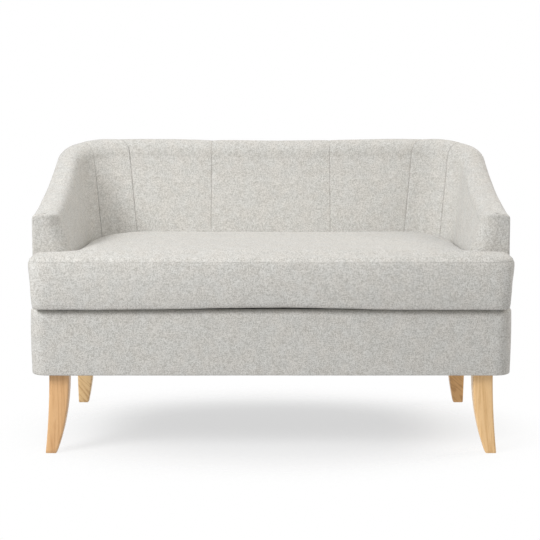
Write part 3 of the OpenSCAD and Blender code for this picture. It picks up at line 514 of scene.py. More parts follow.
def upholster(piece, thickness, *nodes, slot="upholstery"):
    """Thickens a cover, attaches it to its body and hides the CAD nodes that it stands for; the slot is not
    used.
    """
    solid = piece.modifiers.new("cloth thickness", "SOLIDIFY")
    solid.thickness, solid.offset, solid.use_rim = thickness, -1, True
    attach(piece, "settee")
    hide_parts(*nodes)
    print(piece.name, len(piece.data.polygons), "faces")


def stretched(piece, points, *carriers):
    """Measures arc lengths along a piece's grid and keeps nothing; points is its grid, and the piece and the
    named nodes are not used.
    """
    uv = arc_lengths(points)


print("grid helpers ready")


# %% Sewn relief of a panel
SEAM_DEPTH, SEAM_REACH, PAD_DROP, PAD_REACH = 0.0006, 0.0026, 0.0018, 0.026
LINE_REACH, PAD_WAVE, PAD_CRUMPLE = 0.0010, 0.0011, 0.00035
PANEL_THICK, PANEL_FILL = 0.0018, 0.9


def sewn(points, side, edges, depth=SEAM_DEPTH, floor=-1.0):
    """Sinks a panel into the seams at the named edges and gives the rest the unevenness of padding."""
    uv = arc_lengths(points)
    columns, rows = points.shape[:2]
    far = np.full((columns, rows), 9.0)
    if "start" in edges:
        far = np.minimum(far, uv[:, :, 0] - uv[0, :, 0][None, :])
    if "end" in edges:
        far = np.minimum(far, uv[-1, :, 0][None, :] - uv[:, :, 0])
    if "low" in edges:
        far = np.minimum(far, uv[:, :, 1])
    if "high" in edges:
        far = np.minimum(far, uv[:, -1, 1][:, None] - uv[:, :, 1])
    normals = grid_normals(points) * side
    rough = np.array([[ripple(p, 9.0) * PAD_WAVE + ripple(p, 30.0, 4.0) * PAD_CRUMPLE for p in row]
                      for row in points])
    move = -depth * np.exp(-(far / SEAM_REACH) ** 2) - PAD_DROP * np.exp(-(far / PAD_REACH)) + rough
    move = np.maximum(move, floor)
    seam_line = np.exp(-(far / LINE_REACH) ** 2)
    return points + normals * move[:, :, None], uv, seam_line


def inside_panel(name, us, side, *nodes):
    """One sewn panel of the wall's top and inside, which stands for CAD nodes."""
    points = np.array([[body_point(u, v) for v in INSIDE_VS] for u in us])
    points, uv, seam_line = sewn(points, side, ("start", "end", "low"))
    bm = lay_grid(points, uv, seam_line)
    bm.normal_update()
    i, j = len(us) // 2, len(INSIDE_VS) // 2
    normal = grid_normals(points)[i, j] * side
    face = min(bm.faces, key=lambda f: (f.calc_center_median() - Vector(points[i, j])).length)
    if face.normal.dot(Vector(normal)) < 0:
        bmesh.ops.reverse_faces(bm, faces=bm.faces)
    piece = finish_mesh(bm, name, linen)
    upholster(piece, PANEL_THICK, *nodes)


QUARTER = (0, .06, .13, .22, .32, .44, .57, .7, .82, .9, .95, .982, .996)
TOP_VS = sorted([1 + 0.5 * q for q in QUARTER] + [2 - 0.5 * q for q in QUARTER] + [1.5])
WALL_VS = [mix(2, SEAT_V, i / 20) for i in range(1, 21)] + [mix(SEAT_V, 3, i / 9) for i in range(1, 10)]
INSIDE_VS = TOP_VS + WALL_VS

for label, turn, side in (("right", lambda u: u, 1), ("left", lambda u: 6 - u, 1)):
    corner = [turn(u) for u in crowd(SEAM_A, SEAM_B, 22, 0.09, 0.09)]
    rear = [turn(u) for u in crowd(SEAM_B, SEAM_C, 26, 0.045, 0.045)]
    if label == "left":
        corner, rear = corner[::-1], rear[::-1]
    inside_panel(f"{label}_inside_corner_panel", corner, side,
                 f"{label}_inside_corner_cover", f"{label}_corner_foam")
    inside_panel(f"{label}_inside_back_panel", rear, side, f"{label}_inside_back_cover")
inside_panel("centre_inside_back_panel", crowd(SEAM_C, 6 - SEAM_C, 44, 0.045, 0.045), 1,
             "centre_inside_back_cover", "back_foam")

# %% [markdown]
# ## Arms
# The cloth of an arm's inside runs round the front edge in a soft curve of four centimetres. Only along the
# top and the outside is it sewn to the next panel, with a crisp edge. So the front and the inside are one
# mesh. The front is a height field: each point stands back from the front plane by a quarter circle, whose
# radius is small at the top and outside and large inside. Its rows end exactly on the wall's stations, so
# that the two grids weld without a slit, and both reach below the deck, where the cloth is tacked.

# %% Arm front and inside
SIDE_R, TOP_R, SOFT_R = 0.0055, 0.0060, 0.040
FRONT_LOW_V, EDGE_SAMPLES, WELD = 0.31, 3000, 0.0002
CRISP_STEPS_MM = (0, .5, 1.2, 2.1, 3.2, 4.6, 6.5, 9.0, 11.5, 14.0)
SOFT_STEPS_MM = (0, 1.0, 2.5, 4.5, 7, 10, 14, 19, 25, 32, 40)
EDGE_SINK, EDGE_REACH, ARM_SEAM_DEPTH = 0.0009, 0.0016, 0.0012


def front_r(v):
    top = mix(SIDE_R, TOP_R, smooth((v - 0.93) / 0.2))
    return mix(top, SOFT_R, smooth((v - 1.42) / 0.58))


def front_u(v):
    """The station at which the wall meets the rounding of the arm's front."""
    want, low, high = FACE_Y + front_r(v), -0.2, 0.6
    for _ in range(40):
        middle = (low + high) / 2
        if body_point(middle, v)[1] < want:
            low = middle
        else:
            high = middle
    return low


def front_grid():
    """Rows across the arm's front, from the deck to the top; both ends of each row lie on the wall."""
    outside = [mix(FRONT_LOW_V, 0.95, i / 24) for i in range(24)] + [mix(0.95, 1, i / 8) for i in range(8)]
    inside = [mix(3, 2.06, i / 24) for i in range(24)] + [mix(2.06, 2, i / 8) for i in range(8)]
    outside += [v for v in TOP_VS if 1 <= v < 1.5]
    inside += [v for v in TOP_VS[::-1] if 1.5 < v <= 2]
    return outside, inside


def arm_front_points():
    outside, inside = front_grid()
    left = np.array([body_point(front_u(v), v) for v in outside])
    right = np.array([body_point(front_u(v), v) for v in inside])
    edge_vs = outside + [1.5] + inside[::-1]
    edge = np.array([body_point(front_u(v), v) for v in edge_vs])
    radii = np.array([front_r(v) for v in edge_vs])
    dense = np.linspace(0, len(edge) - 1, EDGE_SAMPLES)
    whole = np.arange(len(edge))
    edge_x = np.interp(dense, whole, edge[:, 0])
    edge_z = np.interp(dense, whole, edge[:, 2])
    edge_r = np.interp(dense, whole, radii)
    away = np.stack([np.gradient(edge_z), -np.gradient(edge_x)], axis=1)
    away /= np.linalg.norm(away, axis=1, keepdims=True)
    if (away * np.stack([edge_x - edge_x.mean(), edge_z - edge_z.mean()], axis=1)).sum() < 0:
        away = -away
    near, far = np.array(CRISP_STEPS_MM) / 1000, np.array(SOFT_STEPS_MM) / 1000
    rows = []
    for a, b in zip(left, right):
        width = math.hypot(b[0] - a[0], b[2] - a[2])
        scale = min(1, width / (near[-1] + far[-1] + 0.012))
        inner = np.linspace(near[-1] * scale, width - far[-1] * scale, 8)
        steps = np.concatenate([near[:-1] * scale, inner, (width - far[::-1] * scale)[1:]]) / max(width, 1e-6)
        rows.append([(mix(a[0], b[0], s), mix(a[2], b[2], s)) for s in steps])
    grid = np.array(rows)
    sewn_edge = np.interp(dense, whole, [smooth((v - 0.9) / 0.1) * (v < 1.62) for v in edge_vs])
    points, seam_line = np.zeros((*grid.shape[:2], 3)), np.zeros(grid.shape[:2])
    uv = grid.copy()
    for j in range(grid.shape[0]):
        for i in range(grid.shape[1]):
            x, z = grid[j, i]
            gap = np.hypot(edge_x - x, edge_z - z)
            share = np.minimum(1, gap / edge_r)
            back = np.max(edge_r * (1 - np.sqrt(np.maximum(0, 1 - (1 - share) ** 2))))
            k = int(np.argmin(gap))
            seam_line[j, i] = sewn_edge[k] * math.exp(-((gap[k] - edge_r[k]) / EDGE_REACH) ** 2)
            points[j, i] = (x, FACE_Y + back + EDGE_SINK * seam_line[j, i], z)
            turn = math.asin(1 - share[k])
            uv[j, i] += away[k] * edge_r[k] * (turn - math.sin(turn))
        points[j, 0], points[j, -1] = left[j], right[j]
    return points, uv, seam_line


def arm_cover(label, mirror):
    """The front and the inside of one arm as one mesh, with the crisp edge marked as a seam."""
    front, front_uv, front_seam = arm_front_points()
    vs = [v for v in TOP_VS if v <= 2 and v != 1.5] + sorted(v for v in front_grid()[1] if v > 2)
    shares = crowd(0, 1, 56, 0, 0.017)
    side = -1 if mirror else 1
    front = front * (side, 1, 1)
    wall = np.array([[body_point(mix(front_u(v), SEAM_A, s), v) for v in vs] for s in shares]) * (side, 1, 1)
    wall_new, uv, seam_line = sewn(wall, side, ("end", "low"), depth=ARM_SEAM_DEPTH)
    fade = np.array([smooth(s / 0.05) for s in shares])[:, None, None]
    wall_new = wall + (wall_new - wall) * fade
    bm = lay_grid(wall_new, uv, seam_line)
    other = lay_grid(front, front_uv, front_seam)
    scratch = bpy.data.meshes.new("front")
    other.to_mesh(scratch)
    other.free()
    bm.from_mesh(scratch)
    bpy.data.meshes.remove(scratch)
    bmesh.ops.remove_doubles(bm, verts=bm.verts, dist=WELD)
    bmesh.ops.recalc_face_normals(bm, faces=bm.faces)
    piece = finish_mesh(bm, f"{label}_arm_cover", linen,
                        lambda c: Vector((0, -1, 0)) if c.y < FACE_Y + 0.004 else Vector((0, 0, 0)))
    upholster(piece, PANEL_THICK, f"{label}_arm_facing", f"{label}_inside_arm_cover", f"{label}_arm_foam")


arm_cover("right", False)
arm_cover("left", True)

# %% [markdown]
# Behind the padded front stands a board. Its inner front edge is rounded off, so that no hard corner is
# felt through the cloth. The same height field, a little smaller, gives its front, and its back is flat.

# %% Arm front boards
BOARD_BACK_Y, BOARD_GAP, BOARD_EDGE = -0.2355, 0.006, 0.001
BOARD_SHARES = (0.88, 1, 0.95)


def arm_board(label, mirror):
    front, _, _ = arm_front_points()
    middle = (front.min(axis=(0, 1)) + front.max(axis=(0, 1))) / 2
    front = middle + (front - middle) * BOARD_SHARES
    front[:, :, 1] = np.minimum(front[:, :, 1] + BOARD_GAP, BOARD_BACK_Y - BOARD_EDGE)
    front = front * (-1 if mirror else 1, 1, 1)
    bm = lay_grid(front, front[:, :, (0, 2)], np.zeros(front.shape[:2]))
    grown = bmesh.ops.extrude_face_region(bm, geom=bm.faces[:])["geom"]
    for vert in (g for g in grown if isinstance(g, bmesh.types.BMVert)):
        vert.co.y = BOARD_BACK_Y
    bmesh.ops.recalc_face_normals(bm, faces=bm.faces)
    piece = finish_mesh(bm, f"{label}_arm_board", ply)
    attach(piece, "settee")
    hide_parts(f"{label}_arm_front_board")
    print(piece.name, len(piece.data.polygons), "faces")


arm_board("right", False)
arm_board("left", True)

# %% [markdown]
# ## Outside
# The outside of each arm runs round the rear corner to a seam just past it, and one wide panel covers the
# back. They are drawn tight over the frame, and their lower edges are turned in under the rails and tacked
# there, so no bare timber shows from below. Each is one flat cut.

# %% Outside panels
TURNED_VS, FOOT_VS = [-0.020, -0.012, -0.005, -0.0015], [0, 0.004, 0.01, 0.02, 0.035]
OUTER_VS = TURNED_VS + FOOT_VS + [mix(0.05, 0.93, i / 20) for i in range(21)] + [0.95, 0.97, 0.985, 0.995, 1]
OUTSIDE_THICK, DEEPEST, HEM_DEPTH, HEM_REACH_V = 0.0012, -0.0006, 0.0008, 0.0089


def outside_panel(name, points, side, edges, node, *carriers):
    """One panel drawn tight, from its grid of points on the wall; the carriers are not used."""
    points, uv, seam_line = sewn(points, side, edges, floor=DEEPEST)
    hem = np.array([HEM_DEPTH * math.exp(-v / HEM_REACH_V) if v >= 0 else 0.0 for v in OUTER_VS])
    points = points - grid_normals(points) * side * hem[None, :, None]
    points[:, [v < 0 for v in OUTER_VS], 2] = UNDER_Z
    bm = lay_grid(points, uv, seam_line)
    piece = finish_mesh(bm, name, linen, lambda c: Vector((c.x * 2, c.y if c.y > 0.2 else 0, 0)))
    upholster(piece, OUTSIDE_THICK, node)
    stretched(piece, points, *carriers)


arm_grid = np.array([[body_point(mix(front_u(v), SEAM_REAR, s), v) for v in OUTER_VS]
                     for s in crowd(0, 1, 60, 0.006, 0.012)])
for label, side in (("right", 1), ("left", -1)):
    outside_panel(f"{label}_outside_arm_panel", arm_grid * (side, 1, 1), side, ("end", "high"),
                  f"{label}_outside_arm_cover",
                  f"{label}_arm_top_rail", f"{label}_arm_rear_post", f"{label}_side_rail")
back_grid = np.array([[body_point(u, v) for v in OUTER_VS]
                      for u in crowd(SEAM_REAR, 6 - SEAM_REAR, 70, 0.03, 0.03)])
outside_panel("outside_back_panel", back_grid, 1, ("start", "end", "high"), "outside_back_cover",
              "back_top_rail", "rear_rail")

# %% [markdown]
# ## Front border
# One band of cloth wraps the front of the base and both corners. It is stretched over the rails, rolls in
# under the cushion at the top and under the base at the bottom, and both its ends are tucked in behind the
# outside arm panels. A path in plan and a section upright make its grid.

# %% Front border
FRONT_Y, CORNER_R = -0.340, 0.040
ROLL_FRONT, ROLL_SIDE, ROLL_LOW, LIP = 0.019, 0.008, 0.0035, 0.0225
TUCK_X, TUCK_YS = HALF_W - 0.0014, (ARM_Y + 0.0070, ARM_Y + 0.0015)
UNDER_LIP, UNDER_HALF, LIP_DROP, BORDER_THICK = 0.022, 0.012, 0.0004, 0.0010
SWELL, WAVE, CRUMPLE = 0.0014, 0.0010, 0.0004


def border_path():
    """Points in plan with outward directions and looseness, from the right arm's tuck to the left arm's."""
    path = [(TUCK_X, y, 1, 0, 0.0) for y in TUCK_YS]
    for i in range(7):
        path.append((HALF_W, mix(ARM_Y, FRONT_Y + CORNER_R, i / 6), 1, 0, min(1.0, i / 3)))
    for i in range(1, 15):
        a = math.pi / 2 * i / 14
        path.append((HALF_W - CORNER_R + CORNER_R * math.cos(a), FRONT_Y + CORNER_R - CORNER_R * math.sin(a),
                     math.cos(a), -math.sin(a), 1.0))
    for i in range(1, 61):
        path.append((mix(HALF_W - CORNER_R, 0, i / 60), FRONT_Y, 0, -1, 1.0))
    return path + [(-x, y, -nx, ny, loose) for x, y, nx, ny, loose in path[-2::-1]]


def border_section(roll):
    """(inset, height) pairs from the lip under the base to the lip under the cushion; roll is the top's."""
    low = [(UNDER_LIP, LEG_H + LIP_DROP), (UNDER_HALF, LEG_H)]
    low += [(ROLL_LOW * (1 - math.sin(a)), LEG_H + ROLL_LOW * (1 - math.cos(a)))
            for a in (math.pi / 2 * i / 7 for i in range(8))]
    wall = [(0, mix(LEG_H + ROLL_LOW, DECK_Z - roll, i / 15)) for i in range(1, 16)]
    top = [(roll * (1 - math.cos(a)), DECK_Z - roll + roll * math.sin(a))
           for a in (math.pi / 2 * i / 11 for i in range(1, 12))]
    return low + wall + top + [(LIP, DECK_Z - LIP_DROP)]


rows = []
for x, y, nx, ny, loose in border_path():
    row = []
    for inset, z in border_section(mix(ROLL_SIDE, ROLL_FRONT, smooth((-ny - 0.4) / 0.6))):
        swell = SWELL * math.sin(math.pi * min(1, max(0, (z - LEG_H) / (DECK_Z - LEG_H))))
        wave = WAVE * ripple((x, y, z), 8.0, 2.0) + CRUMPLE * ripple((x, y, z), 26.0, 7.0)
        reach = (swell + wave) * loose - inset
        row.append((x + nx * reach, y + ny * reach, z))
    rows.append(row)
border = np.array(rows)
border_bm = lay_grid(border, arc_lengths(border), np.zeros(border.shape[:2]))
border_piece = finish_mesh(border_bm, "front_border", linen,
                           lambda c: Vector((c.x if abs(c.x) > 0.56 else 0, -1, 0)))
upholster(border_piece, BORDER_THICK, "front_border_cover")
stretched(border_piece, border, "front_rail", "left_side_rail", "right_side_rail")

# %% [markdown]
# ## Deck
# Under the cushion, where nobody looks, a plain black cloth is stretched over a thin pad. It saves the good
# cloth. It is slightly crowned, widens in front of the arms, as the cushion does, and follows the rounding
# of each arm's front, so that no hole shows there when the cushion is lifted.

# %% Deck cloth
DECK_CROWN, DECK_DROP, DECK_GAP, DECK_THICK = 0.0006, 0.0012, 0.0006, 0.0015
LIP_LAP = 0.002


def deck_half(y):
    """Half the deck's width at a distance from the front."""
    if y < FACE_Y - DECK_GAP:
        gap = max(0.0, FRONT_Y + CORNER_R - y)
        inner = CORNER_R - LIP + LIP_LAP
        return HALF_W - CORNER_R + math.sqrt(inner ** 2 - min(inner, gap) ** 2)
    turn = max(0.0, y - (SEAT_BACK_Y - INNER_R))
    ahead = min(SOFT_R, max(0.0, SOFT_R - (y - FACE_Y)))
    flare = SOFT_R - math.sqrt(SOFT_R ** 2 - ahead ** 2)
    return HALF_W - ARM_T - INNER_R + math.sqrt(INNER_R ** 2 - min(INNER_R, turn) ** 2) - DECK_GAP + flare


deck_ys = [FRONT_Y + LIP - LIP_LAP + 0.0012 * i for i in range(8)]
deck_ys = deck_ys + [mix(deck_ys[-1], FACE_Y - 0.0008, i / 5) for i in range(1, 6)]
deck_ys += [FACE_Y - 0.0002] + [mix(FACE_Y, FACE_Y + SOFT_R, i / 10) for i in range(1, 11)]
deck_ys += [mix(FACE_Y + SOFT_R, SEAT_BACK_Y - INNER_R, i / 18) for i in range(1, 19)]
deck_ys += [SEAT_BACK_Y - INNER_R + (INNER_R - 0.0008) * math.sin(math.pi / 2 * i / 14) for i in range(1, 15)]
deck = np.array([[(s * deck_half(y), y, DECK_Z - DECK_DROP + DECK_CROWN * (1 - s * s)) for y in deck_ys]
                 for s in [-1 + i / 30 for i in range(61)]])
deck_bm = lay_grid(deck, deck[:, :, (0, 1)], np.zeros(deck.shape[:2]))
deck_piece = finish_mesh(deck_bm, "deck_cloth", deck_weave, lambda c: Vector((0, 0, 1)))
upholster(deck_piece, DECK_THICK, "deck_cover", "deck_pad", slot="lining")

# %% [markdown]
# ## The seat cushion
# The cushion is a boxed T: a top and a bottom panel and a band sewn between them, stuffed with foam and
# fibre. Its ears reach in front of the arms, and its inner corners follow the arms' soft fronts.
# A flat grid is cut to the T and doubled, and the band is drawn out of its edge. A short cloth simulation
# then blows it up with the seams held, so that each panel swells between its seams as stuffing makes it.
# A sculpted shape would need the same unevenness by hand; the simulation gives it for nothing.

# %% The flat T
EAR_HALF, SEAT_HALF = 0.6085, 0.5010
EDGE_Y, NOTCH_Y, REAR_Y = -0.350, -0.2655, 0.1820
EAR_FRONT_R, EAR_REAR_R, NOTCH_R, SEAT_REAR_R = 0.042, 0.028, 0.036, 0.113
PANEL_INSET = 0.0185
EAR_COLUMNS, SEAT_COLUMNS, EAR_ROWS, SEAT_ROWS, EVENINGS = 11, 104, 7, 47, 30


def even(a, b, n):
    return [mix(a, b, i / n) for i in range(n + 1)]


def round_outward(x, y, cx, cy, sy):
    a, b = abs(x) - cx, (y - cy) * sy
    if a <= 0 or b <= 0:
        return x, y
    k = max(a, b) / math.hypot(a, b)
    return math.copysign(cx + a * k, x), cy + sy * b * k


def t_place(x, y, m):
    """The T's corners, rounded outwards; each inner corner is filled along a soft curve. m is the inset."""
    ear, seat, front, notch, rear = EAR_HALF - m, SEAT_HALF - m, EDGE_Y + m, NOTCH_Y - m, REAR_Y - m
    fill = NOTCH_R + m
    if y < front + EAR_FRONT_R - m:
        return round_outward(x, y, ear - EAR_FRONT_R + m, front + EAR_FRONT_R - m, -1)
    if y > rear - SEAT_REAR_R + m:
        return round_outward(x, y, seat - SEAT_REAR_R + m, rear - SEAT_REAR_R + m, 1)
    if abs(x) > ear - EAR_REAR_R + m and notch - EAR_REAR_R + m < y < notch + 1e-6:
        return round_outward(x, y, ear - EAR_REAR_R + m, notch - EAR_REAR_R + m, 1)
    ax, by = abs(x) - seat, y - notch
    if abs(by) < 1e-6 and -1e-6 <= ax <= fill:
        turn = math.pi / 4 * (1 - ax / fill)
    elif abs(ax) < 1e-6 and 0 <= by <= fill:
        turn = math.pi / 2 - math.pi / 4 * (1 - by / fill)
    else:
        return x, y
    return (math.copysign(seat + fill - fill * math.sin(turn), x), notch + fill - fill * math.cos(turn))


def smooth_flat(mesh, verts, times):
    for _ in range(times):
        bmesh.ops.smooth_vert(mesh, verts=verts, factor=0.5, use_axis_x=True, use_axis_y=True)


def flat_t(m):
    """A flat grid cut to the T, its corners rounded and its inside evened out."""
    ear, seat = EAR_HALF - m, SEAT_HALF - m
    xs = even(-ear, -seat, EAR_COLUMNS) + even(-seat, seat, SEAT_COLUMNS)[1:]
    xs += even(seat, ear, EAR_COLUMNS)[1:]
    ys = even(EDGE_Y + m, NOTCH_Y - m, EAR_ROWS) + even(NOTCH_Y - m, REAR_Y - m, SEAT_ROWS)[1:]
    grid = bmesh.new()
    grid.verts.layers.int.new("column")
    grid.verts.layers.int.new("held")
    grid.verts.layers.float.new("seam")
    grid.loops.layers.uv.new("cloth")
    bmesh.ops.create_grid(grid, x_segments=len(xs) - 1, y_segments=len(ys) - 1, size=1)
    for vert in grid.verts:
        i = round((vert.co.x + 1) / 2 * (len(xs) - 1))
        j = round((vert.co.y + 1) / 2 * (len(ys) - 1))
        vert.co = (xs[i], ys[j], 0)
    gone = [f for f in grid.faces
            if abs(f.calc_center_median().x) > seat and f.calc_center_median().y > NOTCH_Y - m]
    bmesh.ops.delete(grid, geom=gone, context="FACES")
    for vert in grid.verts:
        vert.co.x, vert.co.y = t_place(vert.co.x, vert.co.y, m)
    smooth_flat(grid, [v for v in grid.verts if not v.is_boundary], EVENINGS)
    return grid


def edge_loop(grid):
    """The boundary's vertices in order, from the middle of the rear."""
    edge = min((e for e in grid.edges if e.is_boundary),
               key=lambda e: ((e.verts[0].co + e.verts[1].co) / 2 - Vector((0, REAR_Y, 0))).length)
    order, used = [edge.verts[0], edge.verts[1]], {edge}
    while True:
        ahead = [e for e in order[-1].link_edges if e.is_boundary and e not in used]
        if not ahead:
            return order[:-1]
        used.add(ahead[0])
        order.append(ahead[0].other_vert(order[-1]))


flat = flat_t(PANEL_INSET)
order = edge_loop(flat)
base = np.array([(v.co.x, v.co.y) for v in order])
tangent = np.roll(base, -1, axis=0) - np.roll(base, 1, axis=0)
outward = np.stack([tangent[:, 1], -tangent[:, 0]], axis=1)
outward /= np.linalg.norm(outward, axis=1, keepdims=True)
if (outward * (base - (0, -0.08))).sum() < 0:
    outward = -outward
outer_edge = base + outward * PANEL_INSET
arc = np.concatenate([[0], np.cumsum(np.linalg.norm(np.diff(outer_edge, axis=0), axis=1))])
arc_total = arc[-1] + float(np.linalg.norm(outer_edge[0] - outer_edge[-1]))
print("T edge:", len(order), "stations,", round(arc_total, 3), "m round")

# %% [markdown]
# The band is drawn out of the T's edge ring by ring. Each ring has a height and an inset from the T's widest
# line, one pair at the sides and one at the front. Beside the arms the band stands nearly upright and leans
# in towards the deck. In front it bulges out over the border, furthest just above its lower seam.
# Under that seam the cushion rolls in to its flat base. Its lower edge isn't straight, because a stuffed band
# sags unevenly: it is up in the middle and down by the ears. Beside the arms its top edge tilts, up at the
# notches and down at the rear corners, where the back presses on it.

# %% Rings, from the top panel down
# Height and inset at the sides, the same at the front, the share of the sag that moves it, and 1 for a seam
RINGS = [(0.5040, 0.0120, 0.5030, 0.0150, 0.0, 0), (0.5006, 0.0060, 0.4990, 0.0092, 0.0, 0),
         (0.4950, 0.0016, 0.4932, 0.0050, 0.0, 1), (0.4870, 0.0000, 0.4860, 0.0024, 0.0, 0),
         (0.4770, 0.0003, 0.4765, -0.0004, 0.0, 0), (0.4660, 0.0012, 0.4660, -0.0028, 0.0, 0),
         (0.4550, 0.0024, 0.4550, -0.0046, 0.0, 0), (0.4440, 0.0038, 0.4440, -0.0060, 0.0, 0),
         (0.4330, 0.0054, 0.4330, -0.0070, 0.0, 0), (0.4220, 0.0072, 0.4215, -0.0076, 0.1, 0),
         (0.4110, 0.0092, 0.4095, -0.0078, 0.2, 0), (0.4005, 0.0113, 0.3970, -0.0076, 0.5, 0),
         (0.3915, 0.0136, 0.3862, -0.0070, 0.8, 1), (0.3850, 0.0150, 0.3818, -0.0056, 1.0, 0),
         (0.3795, 0.0180, 0.3791, -0.0026, 1.0, 0), (0.3755, 0.0235, 0.3775, 0.0040, 1.0, 0),
         (0.3738, 0.0310, 0.3760, 0.0310, 0.6, 0)]
FLOOR_Z = RINGS[-1][0]
TOP_RING_Z = 0.5062
CROWN, CROWN_RUN, CROWN_POWER = 0.0065, 0.085, 2.2
EDGE_RISE, EDGE_FALL, EDGE_WAVE, EDGE_CRUMPLE = 0.0028, 0.0062, 0.0016, 0.0007
TILT_UP, TILT_DOWN, TILT_RUN = 0.0060, -0.0070, 0.14


def facing_front(k):
    """1 for a station on the straight front, fading to 0 round the ears' corners."""
    x, y = outer_edge[k]
    return smooth((-outward[k][1] - 0.3) / 0.6) * (1.0 if y < -0.3 else 0.0)


def edge_lift(k):
    """How far the front's lower edge stands above its drawn line: up in the middle, down near the ears."""
    x = outer_edge[k][0]
    wave = noise.noise(Vector((x * 5.0, 1.7, 3.0))) * EDGE_WAVE
    crumple = noise.noise(Vector((x * 17.0, 4.0, 9.0))) * EDGE_CRUMPLE
    return EDGE_RISE - EDGE_FALL * smooth(abs(x) / 0.44) + wave + crumple


def side_tilt(k):
    """How far the top edge stands above its drawn line beside the arms: up at the notch, down at the rear."""
    x, y = outer_edge[k]
    beside = smooth((abs(x) - 0.34) / 0.12) * smooth((y + 0.295) / 0.03)
    return beside * mix(TILT_UP, TILT_DOWN, smooth((y + 0.25) / 0.33))


column, held = flat.verts.layers.int["column"], flat.verts.layers.int["held"]
for k, vert in enumerate(order):
    vert[column] = k + 1
top_faces, rim_edges = flat.faces[:], [e for e in flat.edges if e.is_boundary]
under = bmesh.ops.duplicate(flat, geom=flat.verts[:] + flat.edges[:] + flat.faces[:])["geom"]
under_verts = [g for g in under if isinstance(g, bmesh.types.BMVert)]
for vert in under_verts:
    vert.co.z = FLOOR_Z

for face in top_faces:
    for vert in face.verts:
        gaps = np.hypot(base[:, 0] - vert.co.x, base[:, 1] - vert.co.y)
        far = float(gaps.min())
        rise = CROWN * (1 - (1 - min(1, far / CROWN_RUN)) ** CROWN_POWER)
        vert.co.z = TOP_RING_Z + rise + side_tilt(int(gaps.argmin())) * (1 - min(1, far / TILT_RUN)) ** 2
band_faces, ring_edges = [], rim_edges
for side_z, side_inset, front_z, front_inset, sag, fixed in RINGS:
    made = bmesh.ops.extrude_edge_only(flat, edges=ring_edges)["geom"]
    fresh = {g for g in made if isinstance(g, bmesh.types.BMVert)}
    band_faces += [g for g in made if isinstance(g, bmesh.types.BMFace)]
    ring_edges = [g for g in made if isinstance(g, bmesh.types.BMEdge) and set(g.verts) <= fresh]
    for vert in fresh:
        k = vert[column] - 1
        front = facing_front(k)
        x, y = base[k] + outward[k] * (PANEL_INSET - mix(side_inset, front_inset, front))
        tilt = side_tilt(k) * smooth((side_z - 0.44) / 0.05)
        vert.co = (x, y, mix(side_z + tilt, front_z + sag * edge_lift(k), front))
        vert[held] = fixed
last = {v[column]: v.co.copy() for e in ring_edges for v in e.verts}
for vert in under_verts:
    if vert[column]:
        vert.co = last[vert[column]]
smooth_flat(flat, [v for v in under_verts if not v[column]], 12)

uv_layer = flat.loops.layers.uv["cloth"]
for face in flat.faces:
    for loop in face.loops:
        loop[uv_layer].uv = (loop.vert.co.x, loop.vert.co.y)
for face in band_faces:
    numbers = [loop.vert[column] - 1 for loop in face.loops]
    wraps = max(numbers) - min(numbers) > 2
    for loop, k in zip(face.loops, numbers):
        loop[uv_layer].uv = (arc[k] + (arc_total if wraps and k < 5 else 0), loop.vert.co.z)
bmesh.ops.remove_doubles(flat, verts=flat.verts, dist=0.00002)
bmesh.ops.recalc_face_normals(flat, faces=flat.faces)
print("cushion:", len(flat.verts), "vertices,", sum(e.is_boundary for e in flat.edges), "open edges")

# %% Blow it up
CLOTH = {"quality": 4, "mass": 0.35, "tension_stiffness": 12, "compression_stiffness": 10,
         "shear_stiffness": 4, "bending_stiffness": 0.6, "use_pressure": True, "uniform_pressure_force": 4.0,
         "vertex_group_mass": "held"}
cushion = finish_mesh(flat, "seat_cushion_cover", linen)
rest = np.array([v.co for v in cushion.data.vertices])


def stuff(piece, frames=20):
    """Swells the cover by a short cloth simulation with its seams held, and returns the new places."""
    group = piece.vertex_groups.new(name="held")
    marks = [d.value for d in piece.data.attributes["held"].data]
    base_z = FLOOR_Z + BASE_HELD
    group.add([i for i, m in enumerate(marks) if m or piece.data.vertices[i].co.z < base_z], 1.0, "REPLACE")
    cloth = piece.modifiers.new("stuffing", "CLOTH")
    for key, value in CLOTH.items():
        setattr(cloth.settings, key, value)
    cloth.settings.effector_weights.gravity = 0
    cloth.collision_settings.use_collision = False
    cloth.point_cache.frame_start = 1
    cloth.point_cache.frame_end = frames
    for frame_number in range(1, frames + 1):
        bpy.context.scene.frame_set(frame_number)
    seen = piece.evaluated_get(bpy.context.evaluated_depsgraph_get())
    places = np.array([v.co for v in seen.data.vertices])
    piece.modifiers.remove(cloth)
    piece.vertex_groups.remove(group)
    bpy.context.scene.frame_set(1)
    return places


CAP, CAP_LOW, LOW_SEAM_Z, BASE_HELD, GIVE = 0.0036, 0.0006, 0.390, 0.0045, 0.0005
ZIP_Z, ZIP_Y, ZIP_REACH, ZIP_HALF = 0.4396, 0.1763, 0.024, 0.40
BUMP_WAVE, BUMP_CRUMPLE, BUMP_FROM_Z = 0.0012, 0.0004, 0.38
swollen = stuff(cushion)
moved = swollen - rest
length = np.linalg.norm(moved, axis=1, keepdims=True)
cap = np.where(rest[:, 2:3] < LOW_SEAM_Z, CAP_LOW, CAP)
moved *= cap * np.tanh(length / cap) / np.maximum(length, 1e-9)
places = rest + moved
behind = rest[:, 1] > NOTCH_Y + NOTCH_R
places[:, 1] = np.minimum(places[:, 1], REAR_Y + GIVE)
places[:, 2] = np.maximum(places[:, 2], np.minimum(rest[:, 2], FLOOR_Z))
places[behind, 0] = np.clip(places[behind, 0], -SEAT_HALF - GIVE, SEAT_HALF + GIVE)
at_zip = ((rest[:, 1] > REAR_Y - 0.032) & (np.abs(rest[:, 2] - ZIP_Z) < ZIP_REACH)
          & (np.abs(rest[:, 0]) < ZIP_HALF))
places[at_zip, 1] = np.minimum(places[at_zip, 1], ZIP_Y)
